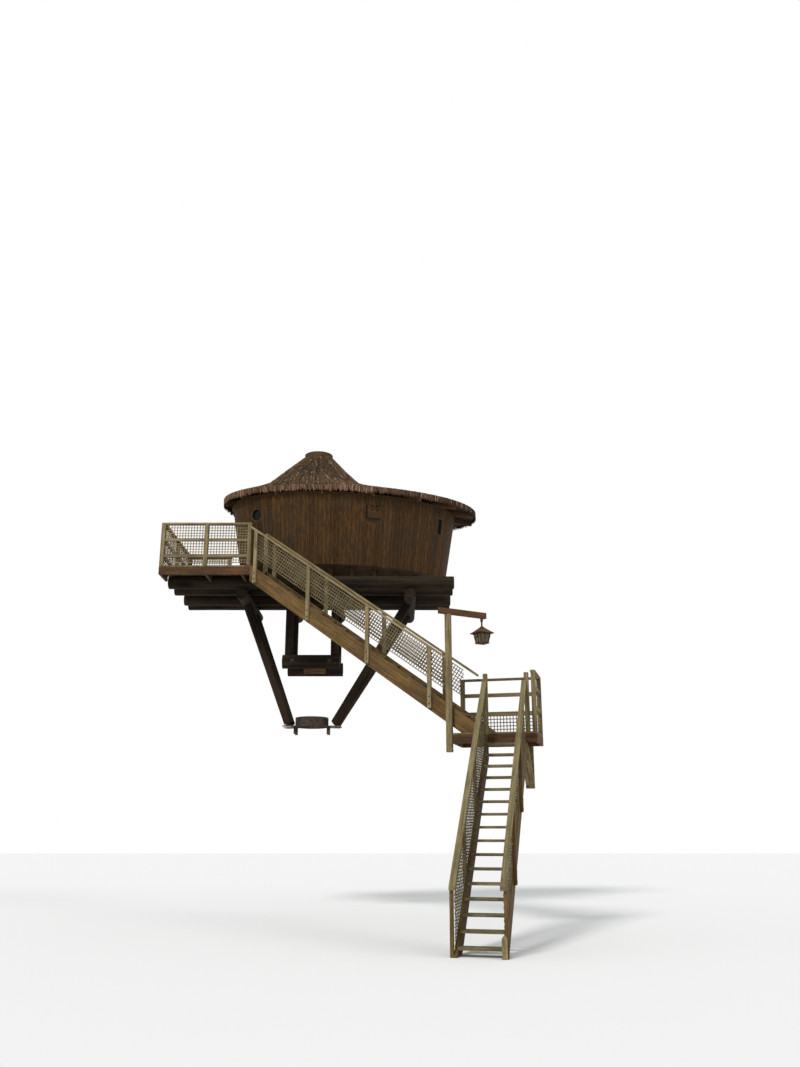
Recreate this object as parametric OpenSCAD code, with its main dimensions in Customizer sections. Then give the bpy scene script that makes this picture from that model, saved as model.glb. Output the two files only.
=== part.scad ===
// Round tree house with a shaggy thatched roof, carried on logs and braces that
// clamp to an upright, with a deck, an upper flight, a landing and a lower flight.
// Millimetres, +Z up. The origin is the centre of the front clamp pad's face.

/* [Levels] */
// Height of the clamp pad's centre above the foot of the stair
mount_h = 5180; // [4600:10:5800]
// Height of the landing above the stair's foot
landing_h = 3330; // [3000:10:3600]
// Height of the deck above the stair's foot
deck_h = 6990; // [6600:10:7400]
// Step up from the deck to the hut's floor
floor_step = 280; // [240:5:320]

/* [Clamps] */
// Radius left free for the upright at the clamps
trunk_r = 350; // [300:5:380]
// Radius of the clamp logs
yoke_r = 150; // [130:5:170]
// Length of the clamp logs
yoke_len = 1250; // [1150:10:1500]
// Width of a clamp pad
pad_w = 500; // [400:10:600]
// Height of a clamp pad
pad_h = 220; // [180:5:260]
// Thickness of a clamp pad
pad_t = 60; // [40:5:80]
// Radius of the threaded rods
rod_r = 12; // [8:1:16]
// Distance of each rod from the clamps' axis
rod_x = 400; // [390:5:440]
// Depth of the brace collar below the clamp pads
collar_drop = 1350; // [1200:10:1500]
// Height of the brace collar's band
collar_band = 200; // [140:10:260]
// Thickness of the brace collar's band
band_t = 12; // [8:1:16]

/* [Braces and platform] */
// Radius of the diagonal braces
brace_r = 105; // [80:5:120]
// Radius of the lower bearer logs
bearer_r = 130; // [110:5:150]
// Radius of the upper platform logs
log_r = 145; // [125:5:160]
// Distance from the clamps' axis to the left outer bearer
bearer_left = 1470; // [1350:10:1600]
// Distance from the clamps' axis to the right outer bearer
bearer_right = 2150; // [1950:10:2300]
// Distance from the clamps' axis to each inner bearer
bearer_inner = 500; // [480:5:520]
// Length of the outer bearers
bearer_len = 2500; // [2300:10:2800]
// Reach of the platform logs to the right of the clamps' axis
log_reach_right = 3100; // [2900:10:3300]
// Reach of the platform logs to the left of the clamps' axis
log_reach_left = 3080; // [2900:10:3200]

/* [Hut] */
// Half length of the hut's oval at the floor
hut_a = 2380; // [2200:10:2600]
// Half width of the hut's oval at the floor
hut_b = 1270; // [1150:10:1400]
// Turn of the hut's long axis
hut_turn = 12.5; // [5:0.5:20]
// Height of the boarded wall
wall_h = 1500; // [1400:10:1650]
// Outward lean of the wall, in degrees
wall_lean = 9; // [5:0.5:11]
// Thickness of the wall
wall_t = 70; // [50:5:90]
// Thickness of the hut's floor boards
floor_t = 40; // [30:1:50]
// How far the joists sit back from the wall
joist_inset = 200; // [150:10:260]
// Height of the doorway
door_h = 1380; // [1300:10:1400]
// Thickness of the door leaf
door_t = 40; // [30:1:50]
// Radius of the round window
porthole_r = 125; // [100:5:140]
// Width of the shuttered window
shutter_w = 400; // [340:10:420]
// Height of the shuttered window
shutter_h = 400; // [340:10:440]
// Width of the slit window
slit_w = 180; // [140:10:200]
// Height of the slit window
slit_h = 340; // [280:10:400]
// Height of the windows' centres above the floor
window_mid = 1100; // [1050:10:1150]

/* [Roof] */
// Half length of the eave's oval
eave_a = 3000; // [2960:10:3100]
// Half width of the eave's oval
eave_b = 1620; // [1600:10:1720]
// Thickness of the thatch at the eave
thatch_t = 130; // [100:5:160]
// Radius of the thatch's steep cap
cap_r = 1050; // [950:10:1100]
// Rise from the eave to the foot of the cap
skirt_rise = 340; // [280:10:400]
// Rise of the steep cap
cap_rise = 820; // [700:10:900]
// Radius of the bore through the roof's collar
roof_collar_r = 300; // [270:5:330]
// Thickness of a rafter
rafter_w = 50; // [40:1:60]
// Depth of a rafter
rafter_d = 80; // [70:1:90]

/* [Deck and railings] */
// Width of the deck's front edge
deck_front_w = 1910; // [1700:10:2000]
// Depth of the deck
deck_depth = 2750; // [2500:10:2900]
// Thickness of the walking boards
board_t = 35; // [28:1:45]
// Height of the railings
rail_h = 940; // [900:5:1000]
// Width of a railing post
post_w = 80; // [70:1:95]
// Width of a top rail
rail_w = 90; // [80:1:110]
// Thickness of a rail
rail_t = 40; // [30:1:45]
// Width of a lattice lath
lath_w = 22; // [16:1:30]
// Spacing of the lattice's laths
lath_pitch = 150; // [130:5:200]

/* [Upper flight] */
// Number of risers in the upper flight
upper_risers = 18; // [17:1:19]
// Going of each upper step
upper_going = 288; // [270:1:295]
// Clear width of the upper flight
upper_w = 600; // [560:10:640]
// Turn of the upper flight from the deck's front edge
upper_turn = 25; // [22:0.5:28]
// Depth of a stringer
stringer_d = 290; // [260:5:320]
// Thickness of a stringer
stringer_t = 50; // [40:1:60]
// Thickness of a tread
tread_t = 40; // [32:1:48]

/* [Landing and lower flight] */
// Width of the landing
landing_w = 1520; // [1450:10:1700]
// Depth of the landing
landing_d = 960; // [900:10:1050]
// Number of treads in the lower flight
lower_treads_n = 16; // [15:1:17]
// Height of the lower flight's first tread above the stair's foot
first_riser = 130; // [110:5:200]
// Going of each lower step
lower_going = 200; // [190:1:215]
// Clear width of the lower flight
lower_w = 610; // [580:5:640]
// Turn of the landing and the lower flight
lower_turn = 14; // [12:0.5:16]
// Width of the lantern's post
lantern_post_w = 110; // [90:5:125]
// Height of the lantern's post above the landing
lantern_post_h = 2290; // [2100:10:2400]
// Length of the lantern's arm
arm_len = 1050; // [950:10:1150]
// Width of the lantern's body at its foot
lantern_w = 210; // [180:5:240]

/* [Hidden] */

$fn = 48;
seat_gap = 0.3;
over = 2;
log_turn = 37;

ground_z = -mount_h;
landing_z = landing_h - mount_h;
deck_z = deck_h - mount_h;
floor_z = deck_z + floor_step;
wall_top_z = floor_z + wall_h;
log_top_z = deck_z - board_t;
log_z = log_top_z - log_r;
bearer_z = log_top_z - 2 * log_r - bearer_r - seat_gap;
collar_z = -collar_drop;
trunk_y = trunk_r;
yoke_axis_y = -pad_t - sqrt(yoke_r * yoke_r - 65 * 65);

wood_pale = "tan";
wood_brown = "saddlebrown";
wood_dark = "#4a3426";
wood_red = "#7a4a30";
log_dark = "#5a4c3c";
straw = "#8c6f52";
steel = "#6f7478";

// Oval plan of the hut, as a ring of points offset outwards by off
segments = 32;
first_corner = 0.38;
hut_x = 640;
hut_y = 200 + trunk_r;
eave_x = 810;
eave_y = hut_y;

function turned(p, angle) = [p[0] * cos(angle) - p[1] * sin(angle), p[0] * sin(angle) + p[1] * cos(angle)];
function oval(a, b, i) = [a * cos((i + first_corner) * 360 / segments),
    b * sin((i + first_corner) * 360 / segments)];
function hut_corner(i) = [hut_x, hut_y] + turned(oval(hut_a, hut_b, i), hut_turn);
function edge_normal(i) = let (d = hut_corner(i + 1) - hut_corner(i)) [d[1], -d[0]] / norm(d);
function mitre(i) = let (n1 = edge_normal(i - 1), n2 = edge_normal(i)) (n1 + n2) / (1 + n1 * n2);
function wall_point(i, off) = hut_corner(i) + off * mitre(i);
function wall_ring(off) = [for (i = [0:segments - 1]) wall_point(i, off)];
function lean_at(z) = (z - floor_z) * tan(wall_lean);
function eave_corner(i) = [eave_x, eave_y] + turned(oval(eave_a, eave_b, i), hut_turn);

// Straight log between two points
module log_between(p, q, r) {
    d = q - p;
    translate(p)
        rotate([0, acos(d[2] / norm(d)), atan2(d[1], d[0])])
            rotate([0, 0, log_turn])
                cylinder(h = norm(d), r = r);
}

// Corner of a run of wall, whose two ends stand back by half a joint
function run_point(i, i0, i1, off) = let (p = wall_point(i, off), q = wall_point(i == i0 ? i + 1 : i - 1, off))
    i == i0 || i == i1 ? p + seat_gap / 2 * (q - p) / norm(q - p) : p;

// One solid run of wall: the band between two leaning rings, from corner i0 to corner i1
module wall_run(i0, i1, z_low = floor_z, z_high = wall_top_z, out = 0, thick = wall_t) {
    n = i1 - i0;
    low = lean_at(z_low) + out;
    high = lean_at(z_high) + out;
    rings = [[low, z_low], [low - thick, z_low], [high - thick, z_high], [high, z_high]];
    pts = [for (i = [i0:i1]) for (r = rings) let (p = run_point(i, i0, i1, r[0])) [p[0], p[1], r[1]]];
    sides = [for (k = [0:n - 1]) for (j = [0:3])
        [4 * k + 4 + j, 4 * k + 4 + (j + 1) % 4, 4 * k + (j + 1) % 4, 4 * k + j]];
    ends = [[0, 1, 2, 3], [4 * n + 3, 4 * n + 2, 4 * n + 1, 4 * n]];
    polyhedron(points = pts, faces = concat(sides, ends));
}

// Places children on the outer face of panel i: x along it, y outwards, z up the slope
module on_panel(i, z) {
    p = (wall_point(i, lean_at(z)) + wall_point(i + 1, lean_at(z))) / 2;
    n = edge_normal(i);
    translate([p[0], p[1], z])
        rotate([0, 0, atan2(n[1], n[0]) - 90])
            rotate([-wall_lean, 0, 0])
                children();
}

porthole_panel = 18;
shutter_panel = 24;
slit_panel = 28;
door_first = 13;
door_last = 16;
window_z = floor_z + window_mid;

module wall_left() {
    color(wood_dark)
        difference() {
            wall_run(16, 20);
            on_panel(porthole_panel, window_z)
                rotate([90, 0, 0])
                    cylinder(h = 4 * wall_t, r = porthole_r, center = true);
        }
}

module wall_front() {
    color(wood_dark) wall_run(20, 24);
}

module wall_front_right() {
    color(wood_dark)
        difference() {
            wall_run(24, 28);
            on_panel(shutter_panel, window_z)
                cube([shutter_w, 4 * wall_t, shutter_h], center = true);
        }
}

module wall_right() {
    color(wood_dark)
        difference() {
            wall_run(28, 32);
            on_panel(slit_panel, window_z)
                cube([slit_w, 4 * wall_t, slit_h], center = true);
        }
}

module wall_rear_right() {
    color(wood_dark) wall_run(0, 5);
}

module wall_rear() {
    color(wood_dark) wall_run(5, 9);
}

module wall_rear_left() {
    color(wood_dark) wall_run(9, 13);
}

module wall_over_door() {
    color(wood_dark) wall_run(door_first, door_last, z_low = floor_z + door_h);
}

// The door closes the doorway between the two wall ends, on a flat chord
door_gap = 6;
door_lift = 0.4;
module door() {
    p0 = wall_point(door_first, -wall_t);
    q0 = wall_point(door_last, -wall_t);
    up = lean_at(floor_z + door_h);
    p1 = wall_point(door_first, up - wall_t);
    q1 = wall_point(door_last, up - wall_t);
    along = (q0 - p0) / norm(q0 - p0);
    sill = door_lift + door_t * sin(wall_lean);
    rise = door_h - door_gap - sill;
    color(wood_red)
        translate([p0[0], p0[1], floor_z + sill])
            rotate([0, 0, atan2(along[1], along[0])])
                rotate([90 + wall_lean, 0, 0])
                    linear_extrude(door_t)
                        polygon([[door_gap, 0], [norm(q0 - p0) - door_gap, 0],
                            [(q1 - p0) * along - door_gap, rise / cos(wall_lean)],
                            [(p1 - p0) * along + door_gap, rise / cos(wall_lean)]]);
}

frame_w = 35;
frame_out = 18;
glass_t = 6;

module window_frames() {
    color(wood_red) {
        on_panel(porthole_panel, window_z)
            translate([0, frame_out + seat_gap, 0])
                rotate([90, 0, 0])
                    difference() {
                        cylinder(h = frame_out, r = porthole_r + frame_w);
                        translate([0, 0, -over])
                            cylinder(h = frame_out + 2 * over, r = porthole_r);
                    }
        on_panel(slit_panel, window_z)
            difference() {
                translate([-slit_w / 2 - frame_w, seat_gap, -slit_h / 2 - frame_w])
                    cube([slit_w + 2 * frame_w, frame_out, slit_h + 2 * frame_w]);
                translate([-slit_w / 2, -over, -slit_h / 2])
                    cube([slit_w, frame_out + 2 * over, slit_h]);
            }
        on_panel(shutter_panel, window_z)
            difference() {
                translate([-shutter_w / 2 + seat_gap, -wall_t, -shutter_h / 2 + seat_gap])
                    cube([shutter_w - 2 * seat_gap, wall_t, shutter_h - 2 * seat_gap]);
                translate([-shutter_w / 2 + frame_w, -wall_t - over, -shutter_h / 2 + frame_w])
                    cube([shutter_w - 2 * frame_w, wall_t + 2 * over, shutter_h - 2 * frame_w]);
            }
    }
}

module window_glass() {
    color("lightblue", 0.5) {
        on_panel(porthole_panel, window_z)
            translate([0, -wall_t / 2, 0])
                rotate([90, 0, 0])
                    cylinder(h = glass_t, r = porthole_r - seat_gap);
        on_panel(slit_panel, window_z)
            translate([-slit_w / 2 + seat_gap, -wall_t / 2, -slit_h / 2 + seat_gap])
                cube([slit_w - 2 * seat_gap, glass_t, slit_h - 2 * seat_gap]);
    }
}

// Boarded shutter in its frame, with two small round holes near the top
hole_r = 16;
shutter_t = 24;
module shutter() {
    w = shutter_w - 2 * frame_w;
    h = shutter_h - 2 * frame_w;
    color(wood_dark)
        on_panel(shutter_panel, window_z)
            difference() {
                translate([-w / 2, -shutter_t - 8, -h / 2])
                    cube([w, shutter_t, h]);
                for (side = [-1, 1])
                    translate([side * w / 5, 0, h / 2 - 70])
                        rotate([90, 0, 0])
                            cylinder(h = 3 * wall_t, r = hole_r, center = true);
            }
}

// Ring timber on top of the walls
plate_h = 56;
plate_w = 100;
plate_top_z = wall_top_z + plate_h;
module wall_plate() {
    off = lean_at(wall_top_z);
    color(wood_brown)
        translate([0, 0, wall_top_z])
            linear_extrude(plate_h)
                difference() {
                    polygon(wall_ring(off));
                    polygon(wall_ring(off - plate_w));
                }
}

module trunk_hole(r) {
    translate([0, trunk_y, -mount_h])
        cylinder(h = 3 * mount_h, r = r);
}

module hut_floor() {
    color(wood_brown)
        difference() {
            translate([0, 0, floor_z - floor_t])
                linear_extrude(floor_t)
                    polygon(wall_ring(0));
            trunk_hole(trunk_r + 50);
        }
}

joist_w = 75;
joist_pitch = 480;
module hut_joists() {
    h = floor_step - floor_t + board_t;
    color(wood_dark)
        difference() {
            intersection() {
                union()
                    for (k = [-4:5])
                        translate([hut_x + (k - 0.5) * joist_pitch - joist_w / 2, hut_y - 2 * hut_b,
                            log_top_z + seat_gap])
                            cube([joist_w, 4 * hut_b, h - seat_gap]);
                translate([0, 0, log_top_z])
                    linear_extrude(h)
                        polygon(wall_ring(-joist_inset));
            }
            trunk_hole(trunk_r + 70);
        }
}

// Clamps: two logs drawn together by rods, with flat pads on their inner faces
module trunk_pads() {
    color(wood_pale)
        for (y = [-pad_t, 2 * trunk_r])
            translate([-pad_w / 2, y, -pad_h / 2])
                cube([pad_w, pad_t, pad_h]);
}

washer_w = 90;
washer_t = 10;
rod_gap = 1;
spot_y = 25;
module yoke_log() {
    color(log_dark)
        difference() {
            translate([-yoke_len / 2, yoke_axis_y, 0])
                rotate([0, 90, 0])
                    cylinder(h = yoke_len, r = yoke_r);
            translate([-yoke_len, -pad_t, -2 * yoke_r])
                cube([2 * yoke_len, 4 * yoke_r, 4 * yoke_r]);
            for (x = [-rod_x, rod_x]) {
                translate([x, 0, 0])
                    rotate([90, 0, 0])
                        cylinder(h = 6 * yoke_r, r = rod_r + rod_gap, center = true);
                translate([x - washer_w / 2 - 1, yoke_axis_y - yoke_r - spot_y, -washer_w / 2 - 1])
                    cube([washer_w + 2, 2 * spot_y, washer_w + 2]);
            }
        }
}

module yoke_front() {
    yoke_log();
}

module yoke_rear() {
    translate([0, 2 * trunk_r, 0])
        mirror([0, 1, 0])
            yoke_log();
}

module yoke_rods() {
    face = yoke_axis_y - yoke_r + spot_y;
    color(steel)
        for (x = [-rod_x, rod_x]) {
            translate([x, face - 50, 0])
                rotate([-90, 0, 0])
                    cylinder(h = 2 * (trunk_r - face) + 100, r = rod_r);
            for (side = [0, 1])
                translate([0, side * 2 * trunk_r, 0])
                    mirror([0, side, 0]) {
                        translate([x - washer_w / 2, face - washer_t, -washer_w / 2])
                            cube([washer_w, washer_t, washer_w]);
                        translate([x, face - washer_t, 0])
                            rotate([90, 0, 0])
                                cylinder(h = 20, r = 20, $fn = 6);
                    }
        }
}

yoke_post_r = 85;
module yoke_posts() {
    color(log_dark)
        difference() {
            for (x = [-bearer_inner, bearer_inner])
                for (y = [yoke_axis_y, 2 * trunk_r - yoke_axis_y])
                    log_between([x, y, 0], [x, y, bearer_z], yoke_post_r);
            for (y = [yoke_axis_y, 2 * trunk_r - yoke_axis_y])
                translate([-yoke_len, y, 0])
                    rotate([0, 90, 0])
                        cylinder(h = 2 * yoke_len, r = yoke_r + seat_gap);
            for (x = [-bearer_inner, bearer_inner])
                translate([x, -2 * bearer_len, bearer_z])
                    rotate([-90, 0, 0])
                        cylinder(h = 4 * bearer_len, r = bearer_r + seat_gap);
        }
}

// Steel collar with a seat for each brace foot
seat_t = 14;
seat_reach = 300;
brace_feet = [for (side = [-1, 1]) for (end = [-1, 1]) [side, end]];
foot_half = 24;
module brace_collar() {
    color(steel)
        difference() {
            union() {
                translate([0, trunk_y, collar_z])
                    cylinder(h = collar_band, r = trunk_r + band_t);
                for (f = brace_feet)
                    translate([0, trunk_y, collar_z])
                        rotate([0, 0, foot_angle(f)]) {
                            translate([0, -brace_r, 0])
                                cube([trunk_r + seat_reach, 2 * brace_r, seat_t]);
                            translate([0, foot_half / 2, seat_t])
                                rotate([90, 0, 0])
                                    linear_extrude(foot_half)
                                        polygon([[0, 0], [trunk_r + 60, 0], [trunk_r + 60, -170], [0, -170]]);
                        }
            }
            translate([0, trunk_y, collar_z - mount_h])
                cylinder(h = 2 * mount_h, r = trunk_r);
        }
}

function bearer_x(side) = side < 0 ? -bearer_left : bearer_right;
brace_spread = 620;
function brace_top(f) = [bearer_x(f[0]), trunk_y + f[1] * brace_spread, bearer_z];
function foot_angle(f) = atan2(brace_top(f)[1] - trunk_y, brace_top(f)[0]);
foot_out = 40;
foot_r = trunk_r + band_t + brace_r + foot_out;
function brace_foot(f) = [foot_r * cos(foot_angle(f)), trunk_y + foot_r * sin(foot_angle(f)), collar_z + seat_t];

module brace(f) {
    foot = brace_foot(f);
    top = brace_top(f);
    back = (foot - top) / norm(foot - top);
    difference() {
        log_between(foot + 400 * back, top, brace_r);
        translate([-4 * trunk_r, trunk_y - 4 * trunk_r, collar_z + seat_t - 1000])
            cube([8 * trunk_r, 8 * trunk_r, 1000]);
        translate([top[0], -2 * bearer_len, bearer_z])
            rotate([-90, 0, 0])
                cylinder(h = 4 * bearer_len, r = bearer_r + seat_gap);
    }
}

module front_braces() {
    color(log_dark)
        for (side = [-1, 1])
            brace([side, -1]);
}

module rear_braces() {
    color(log_dark)
        for (side = [-1, 1])
            brace([side, 1]);
}

module bearer_logs() {
    color(log_dark)
        for (x = [-bearer_left, -bearer_inner, bearer_inner, bearer_right])
            translate([x, trunk_y - bearer_len / 2, bearer_z])
                rotate([-90, 0, 0])
                    cylinder(h = bearer_len, r = bearer_r);
}

log_front_y = -760;
log_rows = [log_front_y, -150, trunk_y * 2 + 160, 1330];
module platform_logs() {
    color(log_dark)
        for (y = log_rows)
            translate([-log_reach_left, y, log_z])
                rotate([0, 90, 0])
                    cylinder(h = log_reach_left + log_reach_right, r = log_r);
}

// Roof: an oval thatch skirt that sweeps up into a steep cap round the clamps' axis
eave_z = wall_top_z + 80;
roof_turns = [for (i = [0:segments]) let (p = eave_corner(i) - [0, trunk_y]) atan2(p[1], p[0])];
function trunk_circle(i, r) = [0, trunk_y] + r * [cos(roof_turns[i]), sin(roof_turns[i])];
// Rings from the eave inwards: share of the way to the cap's foot, or a radius round the axis
neck_r = 640;
thatch_clear = 12;
collar_ring_w = 30;
function roof_plan(ring, i) =
    ring == 0 ? eave_corner(i) :
    ring == 1 ? (eave_corner(i) + trunk_circle(i, cap_r)) / 2 :
    ring == 2 ? trunk_circle(i, cap_r) :
    ring == 3 ? trunk_circle(i, neck_r) :
    trunk_circle(i, roof_collar_r + collar_ring_w + thatch_clear);
under_z = [eave_z, eave_z + skirt_rise * 0.42, eave_z + skirt_rise * 0.9,
    eave_z + skirt_rise * 0.9 + cap_rise * 0.42, eave_z + skirt_rise * 0.9 + cap_rise * 0.94];
top_z = [eave_z + thatch_t, eave_z + thatch_t + skirt_rise * 0.5, eave_z + thatch_t + skirt_rise * 1.1,
    eave_z + thatch_t + skirt_rise * 1.1 + cap_rise * 0.44, eave_z + thatch_t + skirt_rise * 1.1 + cap_rise];
rings = len(under_z);

module thatch_part(i0, i1) {
    n = i1 - i0;
    m = 2 * rings;
    pts = [for (i = [i0:i1]) for (j = [0:m - 1])
        let (ring = j < rings ? j : m - 1 - j, p = roof_plan(ring, i), z = j < rings ? under_z[ring] : top_z[ring])
            [p[0], p[1], z]];
    sides = [for (k = [0:n - 1]) for (j = [0:m - 1]) let (j2 = (j + 1) % m, a = m * k, b = m * (k + 1))
        each [[a + j, a + j2, b + j2], [a + j, b + j2, b + j]]];
    ends = [for (j = [0:rings - 2]) let (k = m - 1 - j)
        each [[j + 1, j, k], [j + 1, k, k - 1]]];
    far = [for (f = ends) [for (v = [2:-1:0]) f[v] + m * n]];
    polyhedron(points = pts, faces = concat(sides, ends, far), convexity = 6);
}

module thatch_front() {
    color(straw) thatch_part(20, 28);
}

module thatch_right() {
    color(straw) {
        thatch_part(0, 4);
        thatch_part(28, 32);
    }
}

module thatch_rear() {
    color(straw) thatch_part(4, 12);
}

module thatch_left() {
    color(straw) thatch_part(12, 20);
}

rafter_in = roof_collar_r + collar_ring_w + seat_gap;
rafter_short = 40;
eave_span = [for (i = [0:segments]) norm(eave_corner(i) - [0, trunk_y])];
function ring_radius(ring, i) = ring == 0 ? eave_span[i % segments] :
    ring == 1 ? (eave_span[i % segments] + cap_r) / 2 : ring == 2 ? cap_r : ring == 3 ? neck_r :
    roof_collar_r + collar_ring_w + thatch_clear;
// How far the thatch's underside falls beside ray i for each unit aside: a facet meets the ray along
// rings k to k + 1, and its third corner is on ring m of the neighbouring ray j
function side_fall(k, m, i, j) = let (turn = abs(sin(roof_turns[j % segments] - roof_turns[i])),
        ahead = ring_radius(m, j) * cos(roof_turns[j % segments] - roof_turns[i]),
        steep = (under_z[k + 1] - under_z[k]) / (ring_radius(k, i) - ring_radius(k + 1, i)))
    max(0, steep * (ring_radius(m, i) - ahead) / (ring_radius(m, j) * turn));
function rafter_drop(i) = seat_gap + rafter_w / 2 * max([for (k = [0:rings - 2])
    max(side_fall(k, k + 1, i, i + 1), side_fall(k, k, i, i + segments - 1))]);
module rafter(i) {
    radii = [for (k = [0:rings - 1]) k == 0 ? ring_radius(0, i) - rafter_short : k < 4 ? ring_radius(k, i) : rafter_in];
    heights = [for (k = [0:rings - 1]) under_z[k] - rafter_drop(i)];
    lower = [for (k = [rings - 1:-1:0]) [radii[k], heights[k] - (k > 1 ? rafter_d : rafter_d + 20)]];
    translate([0, trunk_y, 0])
        rotate([0, 0, roof_turns[i]])
            rotate([90, 0, 0])
                linear_extrude(rafter_w, center = true)
                    polygon(concat([for (k = [0:rings - 1]) [radii[k], heights[k]]], lower));
}

module rafters() {
    off = lean_at(wall_top_z);
    color(wood_brown)
        difference() {
            union()
                for (i = [0:2:segments - 1])
                    rafter(i);
            translate([0, 0, wall_top_z - 200])
                linear_extrude(plate_h + 200 + seat_gap)
                    difference() {
                        polygon(wall_ring(off + 1));
                        polygon(wall_ring(off - plate_w - 1));
                    }
        }
}

roof_collar_h = 300;
roof_collar_up = 20;
module roof_collar() {
    color(wood_brown)
        translate([0, trunk_y, top_z[rings - 1] + roof_collar_up - roof_collar_h])
            difference() {
                cylinder(h = roof_collar_h, r = roof_collar_r + collar_ring_w);
                translate([0, 0, -over])
                    cylinder(h = roof_collar_h + 2 * over, r = roof_collar_r);
            }
}

// Deck: boards on the platform's logs, with an edge joist and short cross joists in front
head_x = -1220;
head_y = -1550;
corner_x = 2860;
corner_y = -3580;
deck_left_x = head_x - deck_front_w;
deck_back_y = head_y + deck_depth;
upper_outer = upper_w + 2 * stringer_t;
far_newel = [head_x, head_y] + upper_outer * [sin(upper_turn), cos(upper_turn)];
edge_joist_h = 160;
edge_joist_t = 50;
header_short = 30;

module deck_boards() {
    color(wood_pale)
        difference() {
            translate([0, 0, log_top_z + seat_gap])
                linear_extrude(board_t - seat_gap)
                    polygon([[deck_left_x, head_y], [head_x, head_y], far_newel, [far_newel[0] + 150, -650],
                        [far_newel[0] + 150, 0], [far_newel[0] - 100, deck_back_y], [deck_left_x, deck_back_y]]);
            translate([0, 0, log_top_z - 50])
                linear_extrude(200)
                    polygon(wall_ring(30 - joist_inset));
        }
}

module deck_frame() {
    z = log_top_z - edge_joist_h;
    joist_len = log_front_y - log_r - seat_gap - head_y;
    head = [head_x, head_y];
    down = (upper_outer - header_short) * [sin(upper_turn), cos(upper_turn)];
    inward = edge_joist_t * [-cos(upper_turn), sin(upper_turn)];
    mitre_x = edge_joist_t * (1 - sin(upper_turn)) / cos(upper_turn);
    color(wood_red) {
        translate([0, 0, z])
            linear_extrude(edge_joist_h)
                polygon([[deck_left_x, head_y], head, head + down, head + down + inward,
                    [head_x - mitre_x, head_y + edge_joist_t], [deck_left_x, head_y + edge_joist_t]]);
        for (x = [deck_left_x, (deck_left_x + head_x) / 2, head_x - 4 * edge_joist_t])
            translate([x, head_y + edge_joist_t - over, z])
                cube([edge_joist_t, joist_len - edge_joist_t + over, edge_joist_h]);
    }
}

rail_top_z = deck_z + rail_h;
// Heights of the landing's mid rails, as shares of its top rail's height
mid_rails = [0.36, 0.68];
mid_rail_t = 28;
mid_rail_h = 72;
deck_post_xy = [
    [deck_left_x, head_y],
    [deck_left_x + deck_front_w / 2 - post_w / 2, head_y],
    [deck_left_x, head_y + deck_depth / 2],
    [deck_left_x, deck_back_y - post_w],
    [deck_left_x + deck_front_w / 2, deck_back_y - post_w]];

module deck_posts() {
    color(wood_pale) {
        for (p = deck_post_xy)
            translate([p[0], p[1], deck_z])
                cube([post_w, post_w, rail_h - rail_t]);
        translate([head_x - post_w, head_y, deck_z])
            cube([post_w, post_w, rail_h - rail_t]);
    }
}

module deck_rails() {
    color(wood_pale) {
        translate([deck_left_x, head_y, rail_top_z - rail_t])
            cube([deck_front_w, rail_w, rail_t]);
        translate([deck_left_x, head_y + rail_w + 2, rail_top_z - rail_t])
            cube([rail_w, deck_depth - 2 * rail_w - 4, rail_t]);
        translate([deck_left_x, deck_back_y - rail_w, rail_top_z - rail_t])
            cube([deck_front_w / 2 + rail_w, rail_w, rail_t]);
    }
}

// Flat square lattice in the XZ plane, len long and high tall, laths fused where they cross
module lattice(len, high, pitch = lath_pitch) {
    n_len = max(1, round(len / pitch));
    n_high = max(1, round(high / pitch));
    for (i = [0:n_len])
        translate([i * (len - lath_w) / n_len, 0, 0])
            cube([lath_w, lath_w, high]);
    for (k = [0:n_high])
        translate([0, 0, k * (high - lath_w) / n_high])
            cube([len, lath_w, lath_w]);
}

lattice_low = 60;
module deck_lattice() {
    h = rail_h - rail_t - lattice_low;
    bay = deck_front_w / 2 - post_w * 1.5;
    side_bay = deck_depth / 2 - post_w;
    color(wood_pale)
        translate([0, 0, deck_z + lattice_low]) {
            for (x = [deck_left_x + post_w, deck_left_x + deck_front_w / 2 + post_w / 2])
                translate([x, head_y + post_w / 2, 0])
                    lattice(bay, h);
            for (y = [head_y + post_w, head_y + deck_depth / 2 + post_w])
                translate([deck_left_x + post_w / 2, y, 0])
                    rotate([0, 0, 90])
                        lattice(y > head_y + post_w ? side_bay - post_w : side_bay, h);
            translate([deck_left_x + post_w, deck_back_y - post_w / 2, 0])
                lattice(deck_front_w / 2 - post_w, h);
        }
}

// A flight in its own frame: x down the slope in plan, y across, z absolute
upper_rise = (deck_z - landing_z) / upper_risers;
upper_slope = atan(upper_rise / upper_going);
upper_run = upper_risers * upper_going;

module upper_place() {
    translate([head_x, head_y, 0])
        rotate([0, 0, -upper_turn])
            children();
}

// Board in the XZ plane that follows a slope between two plan distances, with upright ends
module sloped_board(x0, x1, z_at_0, slope, depth, thick) {
    drop = tan(slope);
    rotate([90, 0, 0])
        translate([0, 0, -thick])
            linear_extrude(thick)
                polygon([[x0, z_at_0 - x0 * drop], [x1, z_at_0 - x1 * drop],
                    [x1, z_at_0 - x1 * drop - depth], [x0, z_at_0 - x0 * drop - depth]]);
}

nosing_lip = 30;
upper_string_top = 15;
string_short = 20;
module upper_stringers() {
    vertical_d = stringer_d / cos(upper_slope);
    color(wood_brown)
        upper_place()
            for (y = [0, upper_w + stringer_t])
                translate([0, y, 0])
                    difference() {
                        sloped_board(0, upper_run - string_short, deck_z + upper_string_top, upper_slope,
                            vertical_d, stringer_t);
                        translate([-over, -over, landing_z + seat_gap - 2 * vertical_d])
                            cube([upper_run + 2 * over, stringer_t + 2 * over, 2 * vertical_d]);
                        translate([-over, -over, deck_z])
                            cube([stringer_d, stringer_t + 2 * over, stringer_d]);
                    }
}

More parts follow.
